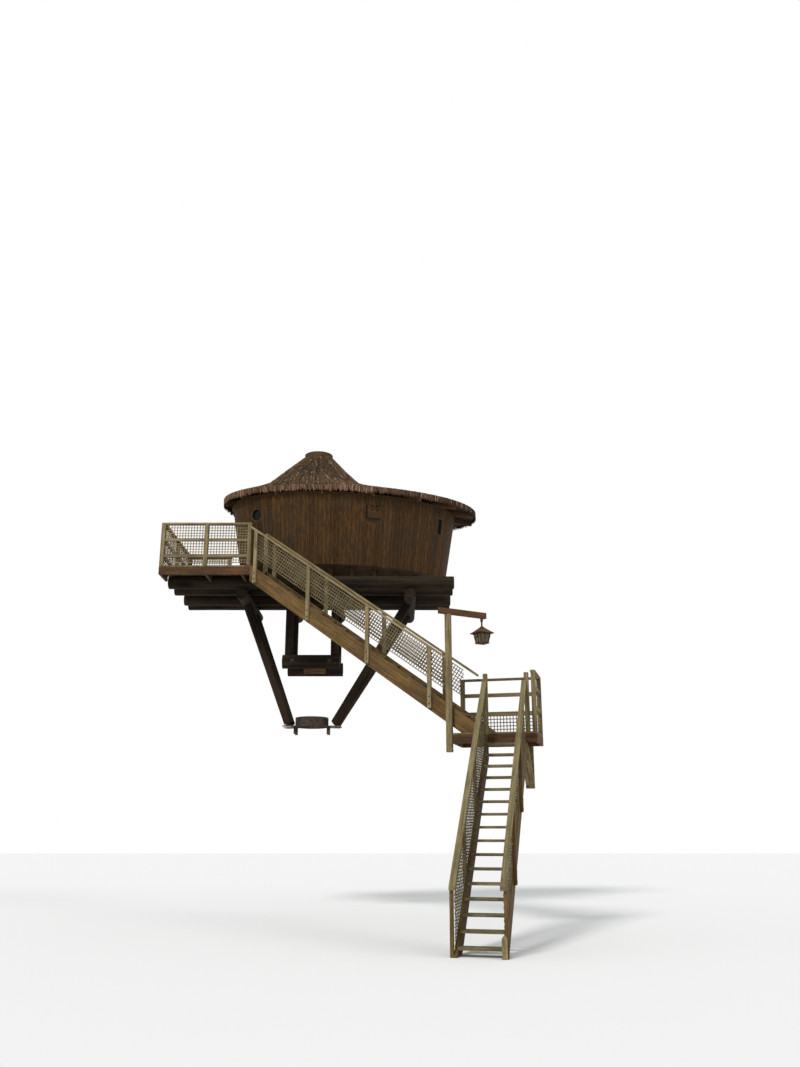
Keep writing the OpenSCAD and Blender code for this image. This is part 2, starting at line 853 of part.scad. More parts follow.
module upper_treads() {
    color(wood_pale)
        upper_place()
            for (k = [1:upper_risers - 1])
                translate([k * upper_going - upper_going, stringer_t, deck_z - k * upper_rise - tread_t])
                    cube([upper_going, upper_w, tread_t]);
}

upper_rail_up = 860;
lattice_up = 240;
lattice_drop = 60;
post_foot = 330;
upper_post_at = [for (s = [0.02, 0.27, 0.53, 0.78]) s * upper_run];
upper_rail_end = 0.865 * upper_run;
upper_rail_over = 280;
// Plan point seen in the upper flight's own frame
function in_upper(p) = turned(p - [head_x, head_y], upper_turn);
near_rail_end = in_upper([corner_x, corner_y] + turned([-lantern_post_w, lantern_post_w], -lower_turn))[0]
    - seat_gap;

function upper_rail_z(x) = deck_z + upper_rail_up - x * tan(upper_slope);

// Post with a sloping head that meets the rail above it, in the XZ plane
module sloped_post(x, z_low, z_at, slope, w, thick) {
    rotate([90, 0, 0])
        translate([0, 0, -thick])
            linear_extrude(thick)
                polygon([[x, z_low], [x + w, z_low], [x + w, z_at - w * tan(slope)], [x, z_at]]);
}

module upper_posts() {
    color(wood_pale)
        upper_place()
            for (y = [-post_w * 0.6, upper_w + 2 * stringer_t])
                for (x = upper_post_at)
                    translate([0, y, 0])
                        sloped_post(x, deck_z - x * tan(upper_slope) - post_foot,
                            upper_rail_z(x) - rail_t / cos(upper_slope) - seat_gap, upper_slope,
                            post_w, post_w * 0.6);
}

module upper_rails() {
    color(wood_pale)
        upper_place()
            for (y = [-post_w * 0.6, upper_w + 2 * stringer_t + post_w * 0.6 - rail_w])
                translate([0, y, 0])
                    sloped_board(y < 0 ? seat_gap : -60, y < 0 ? near_rail_end : upper_rail_end + upper_rail_over,
                        deck_z + upper_rail_up, upper_slope, rail_t / cos(upper_slope), rail_w);
}

// Lattice laid parallel to a flight's slope, cut upright at its foot
module sloped_lattice(x0, x1, z_at_0, slope, high) {
    len = (x1 - x0) / cos(slope);
    difference() {
        translate([x0, 0, z_at_0 - x0 * tan(slope)])
            rotate([0, slope, 0])
                lattice(len, high);
        translate([x1, -over, z_at_0 - x1 * tan(slope) - high])
            cube([high, lath_w + 2 * over, 3 * high]);
    }
}

module upper_lattice() {
    high = (upper_rail_up - rail_t - lattice_up - lattice_drop) * cos(upper_slope);
    color(wood_pale)
        upper_place()
            for (y = [0, upper_w + 2 * stringer_t - lath_w])
                translate([0, y, 0])
                    sloped_lattice(upper_post_at[0], upper_rail_end, deck_z + lattice_up, upper_slope, high);
}

// Landing, in its own frame: x along its front edge, y away from it
frame_h = 150;
frame_t = 50;

module landing_place() {
    translate([corner_x, corner_y, 0])
        rotate([0, 0, -lower_turn])
            children();
}

module landing_boards() {
    color(wood_pale)
        landing_place()
            translate([0, 0, landing_z - board_t])
                cube([landing_w, landing_d, board_t]);
}

module landing_frame() {
    z = landing_z - board_t - frame_h;
    color(wood_red)
        landing_place() {
            for (y = [0, landing_d - frame_t])
                translate([0, y, z])
                    cube([landing_w, frame_t, frame_h]);
            for (x = [0, landing_w / 3, 2 * landing_w / 3, landing_w - frame_t])
                translate([x, frame_t, z])
                    cube([frame_t, landing_d - 2 * frame_t, frame_h]);
        }
}

// Knee struts that run down to a cleat behind the landing
cleat_inset = 270;
cleat_x = landing_w - cleat_inset;
cleat_w = 160;
cleat_t = 60;
cleat_h = 900;
strut_w = 80;
module landing_struts() {
    top = landing_z - board_t - frame_h;
    color(log_dark)
        landing_place() {
            translate([cleat_x - cleat_w / 2, landing_d, top - cleat_h + frame_h])
                cube([cleat_w, cleat_t, cleat_h]);
            for (x = [cleat_x - cleat_w / 2, cleat_x + cleat_w / 2 - strut_w])
                rotate([90, 0, 90])
                    translate([0, 0, x])
                        linear_extrude(strut_w * 0.9)
                            polygon([[120, top], [230, top], [landing_d, top - cleat_h + frame_h + 190],
                                [landing_d, top - cleat_h + frame_h + 60]]);
        }
}

landing_rail_h = 1080;
module landing_posts() {
    h = landing_rail_h - rail_t;
    color(wood_pale)
        landing_place() {
            for (p = [[landing_w - post_w, 0], [landing_w - post_w, landing_d - post_w],
                    [0, landing_d - post_w],
                    [lower_x0 + lower_w + stringer_t, 0]])
                translate([p[0], p[1], landing_z])
                    cube([post_w, post_w, h]);
        }
}

module landing_rails() {
    z = landing_z + landing_rail_h - rail_t;
    color(wood_pale)
        landing_place() {
            translate([0, landing_d - rail_w, z])
                cube([landing_w, rail_w, rail_t]);
            translate([landing_w - rail_w, 0, z])
                cube([rail_w, landing_d - rail_w - 2, rail_t]);
            for (f = mid_rails)
                translate([post_w, landing_d - post_w / 2, landing_z + f * landing_rail_h])
                    cube([landing_w - 2 * post_w, mid_rail_t, mid_rail_h]);
            for (f = mid_rails)
                translate([landing_w - post_w / 2, post_w, landing_z + f * landing_rail_h])
                    cube([mid_rail_t, landing_d - 2 * post_w, mid_rail_h]);
        }
}

module landing_lattice() {
    color(wood_pale)
        landing_place()
            translate([post_w, landing_d - post_w + 4, landing_z + lattice_low])
                lattice(landing_w - 2 * post_w, mid_rails[0] * landing_rail_h - lattice_low);
}

// Lower flight: x across, y up the flight in plan
lower_rise = (landing_h - first_riser) / lower_treads_n;
lower_slope = atan(lower_rise / lower_going);
lower_run = lower_treads_n * lower_going;
lower_x0 = 655;

module lower_place() {
    landing_place()
        translate([lower_x0, -lower_run, 0])
            children();
}

// Turns a flight's profile, drawn with x down the slope, to run down towards the stair's foot
module down_lower(x) {
    lower_place()
        translate([x, lower_run, 0])
            rotate([0, 0, -90])
                children();
}

lower_string_top = 140;
module lower_stringers() {
    vertical_d = stringer_d / cos(lower_slope);
    color(wood_brown)
        for (x = [-stringer_t, lower_w])
            down_lower(x)
                difference() {
                    sloped_board(0, lower_run + stringer_d, landing_z - lower_rise + lower_string_top, lower_slope,
                        vertical_d, stringer_t);
                    translate([-over, -over, ground_z - 3 * vertical_d])
                        cube([lower_run + 2 * stringer_d, stringer_t + 2 * over, 3 * vertical_d]);
                }
}

module lower_treads() {
    color(wood_pale)
        lower_place()
            for (k = [0:lower_treads_n - 1])
                translate([0, k * lower_going, ground_z + first_riser + k * lower_rise - tread_t])
                    cube([lower_w, lower_going + nosing_lip, tread_t]);
}

lower_rail_up = 950;
function lower_rail_z(x) = landing_z - lower_rise + lower_rail_up - x * tan(lower_slope) + 150;
lower_post_at = [for (s = [0.33, 0.66]) s * lower_run];
newel_x = lower_run - 20;

module lower_posts() {
    out = post_w * 0.6;
    color(wood_brown)
        for (x = [-stringer_t - out, lower_w + stringer_t])
            down_lower(x) {
                for (s = lower_post_at)
                    sloped_post(s, landing_z - s * tan(lower_slope) - 330,
                        lower_rail_z(s) - rail_t / cos(lower_slope) - seat_gap, lower_slope, post_w, out);
                sloped_post(newel_x, ground_z, lower_rail_z(newel_x) - rail_t / cos(lower_slope) - seat_gap,
                    lower_slope, post_w, out);
            }
}

module lower_rails() {
    color(wood_pale)
        for (x = [-stringer_t - post_w * 0.6, lower_w + stringer_t + post_w * 0.6 - rail_w])
            down_lower(x)
                sloped_board(0, lower_run + 110, lower_rail_z(0), lower_slope, rail_t / cos(lower_slope), rail_w);
}

lattice_gap = 30;
module lower_lattice() {
    high = (lower_rail_up - rail_t - lattice_low) * cos(lower_slope);
    color(wood_pale)
        for (x = [-stringer_t, lower_w + stringer_t - lath_w])
            down_lower(x)
                sloped_lattice(lattice_gap, newel_x, landing_z - lower_rise + lower_string_top + lattice_gap,
                    lower_slope, high);
}

// Lantern post, arm and the lantern that swings on the arm's pin
arm_turn = 30;
arm_h = 110;
arm_w = 70;
arm_back = 200;
post_top_z = landing_z + lantern_post_h;
pin_r = 5;
pin_out = arm_len - arm_back - 90;
eye_gap = 0.05;
hanger_t = 12;

module lantern_post() {
    color(wood_brown)
        landing_place()
            translate([-lantern_post_w, 0, landing_z - 330])
                cube([lantern_post_w, lantern_post_w, lantern_post_h + 330 - arm_h]);
}

module arm_place() {
    landing_place()
        translate([-lantern_post_w / 2, lantern_post_w / 2, 0])
            rotate([0, 0, lower_turn + arm_turn])
                children();
}

pin_z = post_top_z - arm_h - 45;
ear_t = 8;
ear_gap = 3;
module lantern_arm() {
    color(wood_red)
        arm_place() {
            translate([-arm_back, -arm_w / 2, post_top_z - arm_h])
                cube([arm_len, arm_w, arm_h]);
            // Two ears with a pin between them
            for (side = [-1, 1])
                translate([pin_out - 20, side * (hanger_t / 2 + ear_gap + ear_t / 2) - ear_t / 2, pin_z - 20])
                    cube([40, ear_t, post_top_z - arm_h - pin_z + 20]);
            translate([pin_out, 0, pin_z])
                rotate([90, 0, 0])
                    cylinder(h = hanger_t + 2 * ear_gap + 2 * ear_t, r = pin_r, center = true);
        }
}

lantern_top_w = 1.25;
hood_h = 110;
body_h = 240;
link_h = 130;
module lantern() {
    hood_z = pin_z - link_h;
    color(wood_red)
        arm_place()
            translate([pin_out, 0, 0]) {
                difference() {
                    union() {
                        translate([-18, -hanger_t / 2, hood_z - 10])
                            cube([36, hanger_t, link_h + 10]);
                        translate([0, 0, pin_z])
                            rotate([90, 0, 0])
                                cylinder(h = hanger_t, r = 18, center = true);
                    }
                    translate([0, 0, pin_z])
                        rotate([90, 0, 0])
                            cylinder(h = 4 * hanger_t, r = pin_r + eye_gap, center = true);
                }
                translate([0, 0, hood_z - hood_h])
                    rotate([0, 0, 45])
                        cylinder(h = hood_h, r1 = lantern_w * lantern_top_w * 0.9, r2 = 30, $fn = 4);
                translate([0, 0, hood_z - hood_h - body_h])
                    rotate([0, 0, 45])
                        cylinder(h = body_h, r1 = lantern_w * 0.5, r2 = lantern_w * 0.68, $fn = 4);
            }
}

trunk_pads();
yoke_front();
yoke_rear();
yoke_rods();
yoke_posts();
brace_collar();
front_braces();
rear_braces();
bearer_logs();
platform_logs();
hut_joists();
hut_floor();
wall_left();
wall_front();
wall_front_right();
wall_right();
wall_rear_right();
wall_rear();
wall_rear_left();
wall_over_door();
door();
window_frames();
window_glass();
shutter();
wall_plate();
rafters();
roof_collar();
thatch_front();
thatch_right();
thatch_rear();
thatch_left();
deck_frame();
deck_boards();
deck_posts();
deck_rails();
deck_lattice();
upper_stringers();
upper_treads();
upper_posts();
upper_rails();
upper_lattice();
landing_frame();
landing_boards();
landing_struts();
landing_posts();
landing_rails();
landing_lattice();
lower_stringers();
lower_treads();
lower_posts();
lower_rails();
lower_lattice();
lantern_post();
lantern_arm();
lantern();
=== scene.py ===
"""Looks of an oval tree house: hut, thatched roof, log platform, deck, flights and lantern. Metres."""
import math

import bmesh
import bpy
import numpy as np
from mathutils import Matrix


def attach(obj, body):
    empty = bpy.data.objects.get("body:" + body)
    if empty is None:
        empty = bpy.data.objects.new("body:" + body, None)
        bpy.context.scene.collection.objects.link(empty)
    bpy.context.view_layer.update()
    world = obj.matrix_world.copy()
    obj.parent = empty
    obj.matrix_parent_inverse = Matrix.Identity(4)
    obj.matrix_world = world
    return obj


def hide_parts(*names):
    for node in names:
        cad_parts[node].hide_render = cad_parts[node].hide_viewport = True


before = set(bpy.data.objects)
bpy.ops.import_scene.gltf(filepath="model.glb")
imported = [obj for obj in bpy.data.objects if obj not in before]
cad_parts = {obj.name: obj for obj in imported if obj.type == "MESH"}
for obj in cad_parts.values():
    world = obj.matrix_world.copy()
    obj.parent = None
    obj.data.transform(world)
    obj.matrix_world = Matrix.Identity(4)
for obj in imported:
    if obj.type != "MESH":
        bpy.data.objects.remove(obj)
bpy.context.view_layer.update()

# Levels and the hut's plan, as in the part's source
FOOT_Z = -5.18
LANDING_Z = -1.85
DECK_Z = 1.81
FLOOR_Z = 2.09
WALL_H = 1.5
WALL_TOP_Z = FLOOR_Z + WALL_H
LEAN = math.tan(math.radians(9))
# The platform, its clamp and the roof's cap stand round an upright axis at x 0 and this y
AXIS_Y = 0.35
HUT_CENTRE = np.array([0.64, 0.55])
HUT_A, HUT_B = 2.38, 1.27
HUT_TURN = math.radians(12.5)
SEGMENTS = 32
FIRST_CORNER = 0.38

# The roof's rings: the eave's plan, and the radii of the cap's foot, its neck and the collar, over and under
# the thatch
EAVE_CENTRE = np.array([0.81, 0.55])
EAVE_A, EAVE_B = 3.0, 1.62
TOP_R, UNDER_R = (1.22, 0.74, 0.342), (1.05, 0.64, 0.342)
EAVE_Z = WALL_TOP_Z + 0.08
THATCH_T, CAP_ASIDE = 0.13, -0.06
# Heights over the eave at the eave, half way in, the cap's foot, its neck and the collar
RISE = (-0.03, 0.1, 0.27, 0.73, 1.13)
UNDER = (0.0, 0.143, 0.306, 0.65, 1.077)

# The stairs' frames, each a plan origin and a turn: the upper flight's x runs down the flight, and the
# landing's x runs along its front edge, with the lower flight in front of it
UPPER = (np.array([-1.22, -1.55]), math.radians(-25))
LANDING = (np.array([2.86, -3.58]), math.radians(-14))
DECK_LEFT, DECK_FRONT, DECK_RIGHT, DECK_BACK = -3.13, -1.55, -1.22, 1.2
RAIL_H, POST_W, RAIL_T = 0.94, 0.08, 0.04
UPPER_STEPS, UPPER_GOING, UPPER_WIDE = 18, 0.288, 0.7
UPPER_SLOPE = math.atan2((DECK_Z - LANDING_Z) / UPPER_STEPS, UPPER_GOING)
UPPER_RUN = UPPER_STEPS * UPPER_GOING
LANDING_W, LANDING_D, STRINGER_T = 1.52, 0.96, 0.05
LOWER_X, LOWER_W, LOWER_RUN, LOWER_SLOPE = 0.655, 0.61, 3.2, math.radians(45)


def put(name, data):
    """A new object in the scene."""
    piece = bpy.data.objects.new(name, data)
    bpy.context.scene.collection.objects.link(piece)
    return piece


# Camera

def add_camera():
    """The photograph's view: the eye stands 1.64 m over the stair's foot and looks up by 17.1 degrees."""
    data = bpy.data.cameras.new("camera")
    data.sensor_fit = "VERTICAL"
    data.sensor_height = 24
    data.lens = 24 * 970 / 1067
    camera = put("camera", data)
    camera.location = (1.93, -21.2, -3.54)
    camera.rotation_euler = (math.radians(107.1), 0, 0)
    bpy.context.scene.camera = camera


add_camera()


# Arrays

def unit(v):
    """Vectors divided by their lengths, along the last axis."""
    return v / np.maximum(np.linalg.norm(v, axis=-1, keepdims=True), 1e-9)


def waves(points, seed, size, octaves=3):
    """Smooth noise of about -1 to 1: the weighted mean of octaves, each from the sines of five plane waves
    whose length is size at first and halves each time."""
    rng = np.random.default_rng(seed)
    total, weight = 0.0, 0.0
    for k in range(octaves):
        directions = unit(rng.normal(size=(5, 3))) * (2 * np.pi * 2 ** k / size)
        phases = rng.uniform(0, 2 * np.pi, 5)
        total = total + np.sin(points @ directions.T + phases).sum(-1) / 5 * 1.6 * 0.6 ** k
        weight += 0.6 ** k
    return total / weight


def stacked(*parts):
    """Arrays of one broadcast shape, stacked along a new last axis."""
    return np.stack(np.broadcast_arrays(*parts), -1)


def turned(points, angle):
    """Plan points turned about the origin."""
    c, s = math.cos(angle), math.sin(angle)
    return points @ np.array([[c, s], [-s, c]])


def placed(where, x, y, z):
    """Points of a turned plan frame in three coordinates."""
    x, y = np.asarray(x, float), np.asarray(y, float)
    origin, turn = where
    c, s = math.cos(turn), math.sin(turn)
    return stacked(origin[0] + x * c - y * s, origin[1] + x * s + y * c, z)


def heading(where, x, y):
    """A level direction of a turned plan frame."""
    return placed((np.zeros(2), where[1]), x, y, 0.0)


def rings_from(origin, *pairs):
    """Rings (tube, ring, side, xyz): origins moved by pairs of amounts and each tube's own direction."""
    for amount, way in pairs:
        origin = origin + amount[..., None] * way[:, None, None]
    return origin


def angles(sides):
    """Equal steps of a full turn."""
    return np.arange(sides) * 2 * np.pi / sides


SQUARE = np.array([[-1, -1], [1, -1], [1, 1], [-1, 1]])


def square_rings(where, profile, base):
    """Square rings round an upright axis, from half widths and heights over base."""
    half, up = np.array(profile).T
    spots = half[:, None, None] * SQUARE
    return placed(where, spots[..., 0], spots[..., 1], base + up[:, None])


# Meshes

def set_values(mesh, name, values):
    """A mesh attribute with one number or one vector for each point."""
    kind, field = ("FLOAT_VECTOR", "vector") if values.ndim > 1 else ("FLOAT", "value")
    mesh.attributes.new(name, kind, "POINT").data.foreach_set(field, values.astype(np.float32).ravel())


def put_mesh(name, points, quads, triangles, grain=None, tone=None, smooth=False, crease=0.7):
    """One mesh object from arrays of points, quads and triangles, with its grain coordinates and tones."""
    mesh = bpy.data.meshes.new(name)
    loops = np.concatenate([quads.ravel(), triangles.ravel()]).astype(np.int32)
    totals = np.concatenate([np.full(len(quads), 4), np.full(len(triangles), 3)]).astype(np.int32)
    starts = np.concatenate([[0], np.cumsum(totals)[:-1]]).astype(np.int32)
    mesh.vertices.add(len(points))
    mesh.vertices.foreach_set("co", points.astype(np.float32).ravel())
    mesh.loops.add(len(loops))
    mesh.loops.foreach_set("vertex_index", loops)
    mesh.polygons.add(len(totals))
    mesh.polygons.foreach_set("loop_start", starts)
    mesh.polygons.foreach_set("loop_total", totals)
    mesh.polygons.foreach_set("use_smooth", np.full(len(totals), smooth))
    mesh.update(calc_edges=True)
    if smooth:
        mesh.set_sharp_from_angle(angle=crease)
    for label, values in (("grain", grain), ("tone", tone)):
        if values is not None:
            set_values(mesh, label, values)
    return put(name, mesh)


def put_tubes(name, rings, grain, tone, smooth=False, closed=False, crease=0.7):
    """Tubes from an array (tube, ring, side, xyz): each ring joins the next, and each open end closes to its
    middle."""
    tubes, count, sides = rings.shape[:3]
    per = count * sides + (0 if closed else 2)
    base = (np.arange(tubes) * per)[:, None, None]
    k = np.arange(count if closed else count - 1)[None, :, None]
    s = np.arange(sides)[None, None, :]
    after = (s + 1) % sides
    low, up = base + k * sides, base + (k + 1) % count * sides
    quads = stacked(low + s, low + after, up + after, up + s).reshape(-1, 4)
    triangles = np.zeros((0, 3), int)
    points, grain_at = rings.reshape(tubes, -1, 3), grain.reshape(tubes, -1, 3)
    if not closed:
        last, pole = base + (count - 1) * sides, base + count * sides
        ends = stacked(pole, base + after, base + s), stacked(pole + 1, last + s, last + after)
        triangles = np.concatenate([end.reshape(-1, 3) for end in ends])
        points = np.concatenate([points, rings[:, [0, -1]].mean(2)], 1)
        grain_at = np.concatenate([grain_at, grain[:, [0, -1]].mean(2)], 1)
    tone = np.repeat(np.asarray(tone, float), per)
    return put_mesh(name, points.reshape(-1, 3), quads, triangles, grain_at, tone, smooth, crease)


def board_rings(start, end, side, width, thick, ease=0.003):
    """Rings of boards from start to end: an oblong with cut corners, drawn in a little at both ends.
    side is the direction of the width, and the thickness stands square to it and to the length."""
    start, end, side = (np.atleast_2d(np.asarray(v, float)) for v in (start, end, side))
    count = max(len(start), len(end), len(side))
    start, end, side = (np.broadcast_to(v, (count, 3)) for v in (start, end, side))
    w, t = (np.broadcast_to(np.asarray(v, float), (count,))[:, None] / 2 for v in (width, thick))
    along = unit(end - start)
    across = unit(side - (side * along).sum(-1, keepdims=True) * along)
    face = np.cross(along, across)
    e = np.minimum(ease, np.minimum(w, t) * 0.6)
    u = np.concatenate([w, w, w - e, e - w, -w, -w, e - w, w - e], 1)
    v = np.concatenate([e - t, t - e, t, t, t - e, e - t, -t, -t], 1)
    length = np.linalg.norm(end - start, axis=-1, keepdims=True)
    steps = np.concatenate([0 * length, e, length - e, length], 1)[:, :, None]
    drawn_in = (e * [1, 0, 0, 1])[:, :, None]
    u, v = (part[:, None] - np.sign(part)[:, None] * drawn_in for part in (u, v))
    rings = rings_from(start[:, None, None], (steps, along), (u, across), (v, face))
    return rings, stacked(steps, u, v)


def put_boards(name, start, end, side, width, thick, seed, ease=0.003):
    """Boards as one mesh, each with its own grain and tone."""
    rings, grain = board_rings(start, end, side, width, thick, ease)
    rng = np.random.default_rng(seed)
    grain = grain + rng.uniform(0, 30, (len(rings), 1, 1, 3))
    return put_tubes(name, rings, grain, rng.uniform(0, 1, len(rings)))


def islands(count, edges):
    """The lowest point number that each point is joined to, found by passing it along the edges."""
    label = np.arange(count)
    while True:
        low = label.copy()
        np.minimum.at(low, edges[:, 0], label[edges[:, 1]])
        np.minimum.at(low, edges[:, 1], label[edges[:, 0]])
        low = low[low]
        if (low == label).all():
            return label
        label = low


def eased_copy(node, seed):
    """A copy of a CAD node with its edges eased and the grain of each solid laid along its longest way."""
    work = bmesh.new()
    work.from_mesh(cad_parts[node].data)
    bmesh.ops.remove_doubles(work, verts=work.verts, dist=1e-5)
    bmesh.ops.dissolve_limit(work, angle_limit=math.radians(1), verts=work.verts, edges=work.edges)
    mesh = bpy.data.meshes.new(node + "_eased")
    work.to_mesh(mesh)
    work.free()
    points = np.zeros(len(mesh.vertices) * 3, np.float32)
    mesh.vertices.foreach_get("co", points)
    points = points.reshape(-1, 3).astype(float)
    edges = np.zeros(len(mesh.edges) * 2, np.int32)
    mesh.edges.foreach_get("vertices", edges)
    label = islands(len(points), edges.reshape(-1, 2))
    rng = np.random.default_rng(seed)
    grain, tone = np.zeros_like(points), np.zeros(len(points))
    for one in np.unique(label):
        mine = label == one
        own = points[mine] - points[mine].mean(0)
        axes = np.linalg.svd(own, full_matrices=False)[2]
        grain[mine] = own @ axes.T + rng.uniform(0, 30, 3)
        tone[mine] = rng.uniform()
    set_values(mesh, "grain", grain)
    set_values(mesh, "tone", tone)
    piece = put(node + "_eased", mesh)
    bevel = piece.modifiers.new("eased_edges", "BEVEL")
    bevel.width = 0.004
    bevel.segments = 1
    bevel.limit_method = "ANGLE"
    bevel.angle_limit = math.radians(35)
    bevel.use_clamp_overlap = True
    return piece


# Shader groups

def group(name, inputs, outputs):
    """An empty shader group with its sockets, given as name to (type, default)."""
    tree = bpy.data.node_groups.new(name, "ShaderNodeTree")
    for direction, sockets in (("INPUT", inputs), ("OUTPUT", outputs)):
        for label, (kind, default) in sockets.items():
            socket = tree.interface.new_socket(label, in_out=direction, socket_type="NodeSocket" + kind)
            if default is not None:
                socket.default_value = default
    return tree, tree.nodes.new("NodeGroupInput"), tree.nodes.new("NodeGroupOutput")


def fill(tree, node, **links):
    """The inputs of a node, given by name, or by number after an i, each as a socket or a value."""
    for key, value in links.items():
        numbered = key[0] == "i" and key[1:].isdigit()
        slot = node.inputs[int(key[1:]) if numbered else key.replace("_", " ")]
        if isinstance(value, bpy.types.NodeSocket):
            tree.links.new(value, slot)
        else:
            slot.default_value = value


def wire(tree, kind, settings=None, **links):
    """A shader node with its settings and its inputs."""
    node = tree.nodes.new("ShaderNode" + kind)
    for key, value in (settings or {}).items():
        setattr(node, key, value)
    fill(tree, node, **links)
    return node


def noise(tree, place, scale, detail, **links):
    """Noise of a scale and a number of finer layers."""
    return wire(tree, "TexNoise", Vector=place, Scale=scale, Detail=detail, **links).outputs[0]


def math_node(tree, operation, a, b=0.0, c=0.0):
    """One sum, product or other operation."""
    return wire(tree, "Math", {"operation": operation}, i0=a, i1=b, i2=c).outputs[0]


def times(tree, a, b):
    """A product of two values."""
    return math_node(tree, "MULTIPLY", a, b)


def weighted(tree, a, share_a, b, share_b):
    """The sum of two values, each times its share."""
    return math_node(tree, "ADD", times(tree, a, share_a), times(tree, b, share_b))


def scaled_by(tree, vector, factor):
    """A vector or a colour times a value."""
    return wire(tree, "VectorMath", {"operation": "SCALE"}, i0=vector, Scale=factor).outputs[0]


def mix_colour(tree, factor, a, b):
    """A mix of two colours."""
    return wire(tree, "Mix", {"data_type": "RGBA"}, i0=factor, i6=a, i7=b).outputs[2]


def ramp(tree, value, low, high):
    """A value moved from the range low to high onto 0 to 1, eased at both ends."""
    settings = {"interpolation_type": "SMOOTHSTEP"}
    return wire(tree, "MapRange", settings, Value=value, From_Min=low, From_Max=high).outputs[0]


def object_place(tree):
    """The place of a point in its object."""
    return tree.nodes.new("ShaderNodeTexCoord").outputs["Object"]


def stored(tree, name, output):
    """A value stored with the mesh's points."""
    return wire(tree, "Attribute", {"attribute_name": name}).outputs[output]


def make_grain_group():
    """Streaks and pores of wood along the first grain coordinate: noise squeezed across the grain."""
    tree, ins, outs = group("wood_grain", {"Grain": ("Vector", None), "Size": ("Float", 0.012)},
                            {"Streak": ("Float", None), "Fibre": ("Float", None), "Board": ("Float", None)})
    split = wire(tree, "SeparateXYZ", i0=ins.outputs["Grain"]).outputs
    inverse = math_node(tree, "DIVIDE", 1.0, ins.outputs["Size"])
    squeezed = wire(tree, "CombineXYZ", X=times(tree, split[0], 0.06), Y=split[1], Z=split[2])
    scaled = scaled_by(tree, squeezed.outputs[0], inverse)
    fill(tree, outs, Streak=noise(tree, scaled, 0.35, 3.0, Distortion=0.5),
         Fibre=noise(tree, scaled, 2.2, 2.0), Board=noise(tree, ins.outputs["Grain"], 1.6, 2.0))
    return tree


def make_weather_group():
    """Weathering: algae on upward faces and damp patches, and dirt from slow noise."""
    tree, ins, outs = group(
        "weathering",
        {"Color": ("Color", (0.5, 0.5, 0.5, 1)), "Algae": ("Float", 0.3), "Dirt": ("Float", 0.4),
         "Algae Color": ("Color", (0.08, 0.1, 0.03, 1)), "Dirt Color": ("Color", (0.03, 0.025, 0.015, 1))},
        {"Color": ("Color", None)})
    place = object_place(tree)
    normal = tree.nodes.new("ShaderNodeNewGeometry").outputs["Normal"]
    facing = wire(tree, "SeparateXYZ", i0=normal).outputs[2]
    slow = noise(tree, place, 1.7, 4.0, Roughness=0.6)
    fine = noise(tree, place, 23.0, 3.0, Roughness=0.7)
    both = weighted(tree, slow, 0.6, fine, 0.4)
    damp = math_node(tree, "ADD", both, times(tree, facing, 0.25))
    algae = times(tree, ramp(tree, damp, 0.5, 0.72), ins.outputs["Algae"])
    dirt = times(tree, ramp(tree, both, 0.58, 0.36), ins.outputs["Dirt"])
    dirty = mix_colour(tree, dirt, ins.outputs["Color"], ins.outputs["Dirt Color"])
    fill(tree, outs, Color=mix_colour(tree, algae, dirty, ins.outputs["Algae Color"]))
    return tree


GRAIN = make_grain_group()
WEATHER = make_weather_group()


def material(name):
    """A new material, its node tree and its Principled shader."""
    made = bpy.data.materials.new(name)
    made.use_nodes = True
    shader = made.node_tree.nodes["Principled BSDF"]
    fill(made.node_tree, shader, Specular_IOR_Level=0.12)
    return made, made.node_tree, shader


def grain_parts(tree, place, size):
    """The streaks, the fibres and the slow change of a grain whose streaks have a given size."""
    outputs = wire(tree, "Group", {"node_tree": GRAIN}, Grain=place, Size=size).outputs
    return outputs["Streak"], outputs["Fibre"], outputs["Board"]


def weathered(tree, shader, base, algae, dirt):
    """Gives a shader its base colour under algae and dirt."""
    weather = wire(tree, "Group", {"node_tree": WEATHER}, Color=base, Algae=algae, Dirt=dirt)
    fill(tree, shader, Base_Color=weather.outputs["Color"])


def relief(tree, shader, height, strength, distance):
    """Gives a shader a bump from a height."""
    bump = wire(tree, "Bump", Height=height, Strength=strength, Distance=distance)
    fill(tree, shader, Normal=bump.outputs[0])


def colour(r, g, b):
    """A colour written as it looks, from 0 to 255, turned to linear light."""
    c = np.array([r, g, b]) / 255
    return tuple(np.where(c <= 0.04045, c / 12.92, ((c + 0.055) / 1.055) ** 2.4)) + (1.0,)


def wood(name, light, dark, algae, dirt, size=0.012, rough=0.78, spread=0.35, upright=False):
    """Timber: two colours along the grain, a tone for each board, weathering, and relief from streaks and
    fibres."""
    made, tree, shader = material(name)
    if upright:
        # The mesh has no grain of its own, so the grain stands upright in it
        flat = wire(tree, "SeparateXYZ", i0=object_place(tree)).outputs
        place = wire(tree, "CombineXYZ", X=flat[2], Y=flat[0], Z=flat[1]).outputs[0]
    else:
        place = stored(tree, "grain", "Vector")
    streak, fibre, board = grain_parts(tree, place, size)
    streaks = ramp(tree, streak, 0.35, 0.66)
    base = mix_colour(tree, streaks, colour(*dark), colour(*light))
    fibres = times(tree, ramp(tree, fibre, 0.3, 0.7), 0.35)
    base = mix_colour(tree, fibres, base, colour(*(np.array(light) * 1.18)))
    shade = math_node(tree, "MULTIPLY_ADD", stored(tree, "tone", "Fac"), spread, 1 - spread * 0.6)
    patch = math_node(tree, "MULTIPLY_ADD", board, 0.5, 0.75)
    both = times(tree, shade, patch)
    weathered(tree, shader, scaled_by(tree, base, both), algae, dirt)
    fill(tree, shader, Roughness=math_node(tree, "MULTIPLY_ADD", streaks, 0.12, rough - 0.06))
    relief(tree, shader, weighted(tree, streak, 0.7, fibre, 0.3), strength=0.6, distance=0.003)
    return made


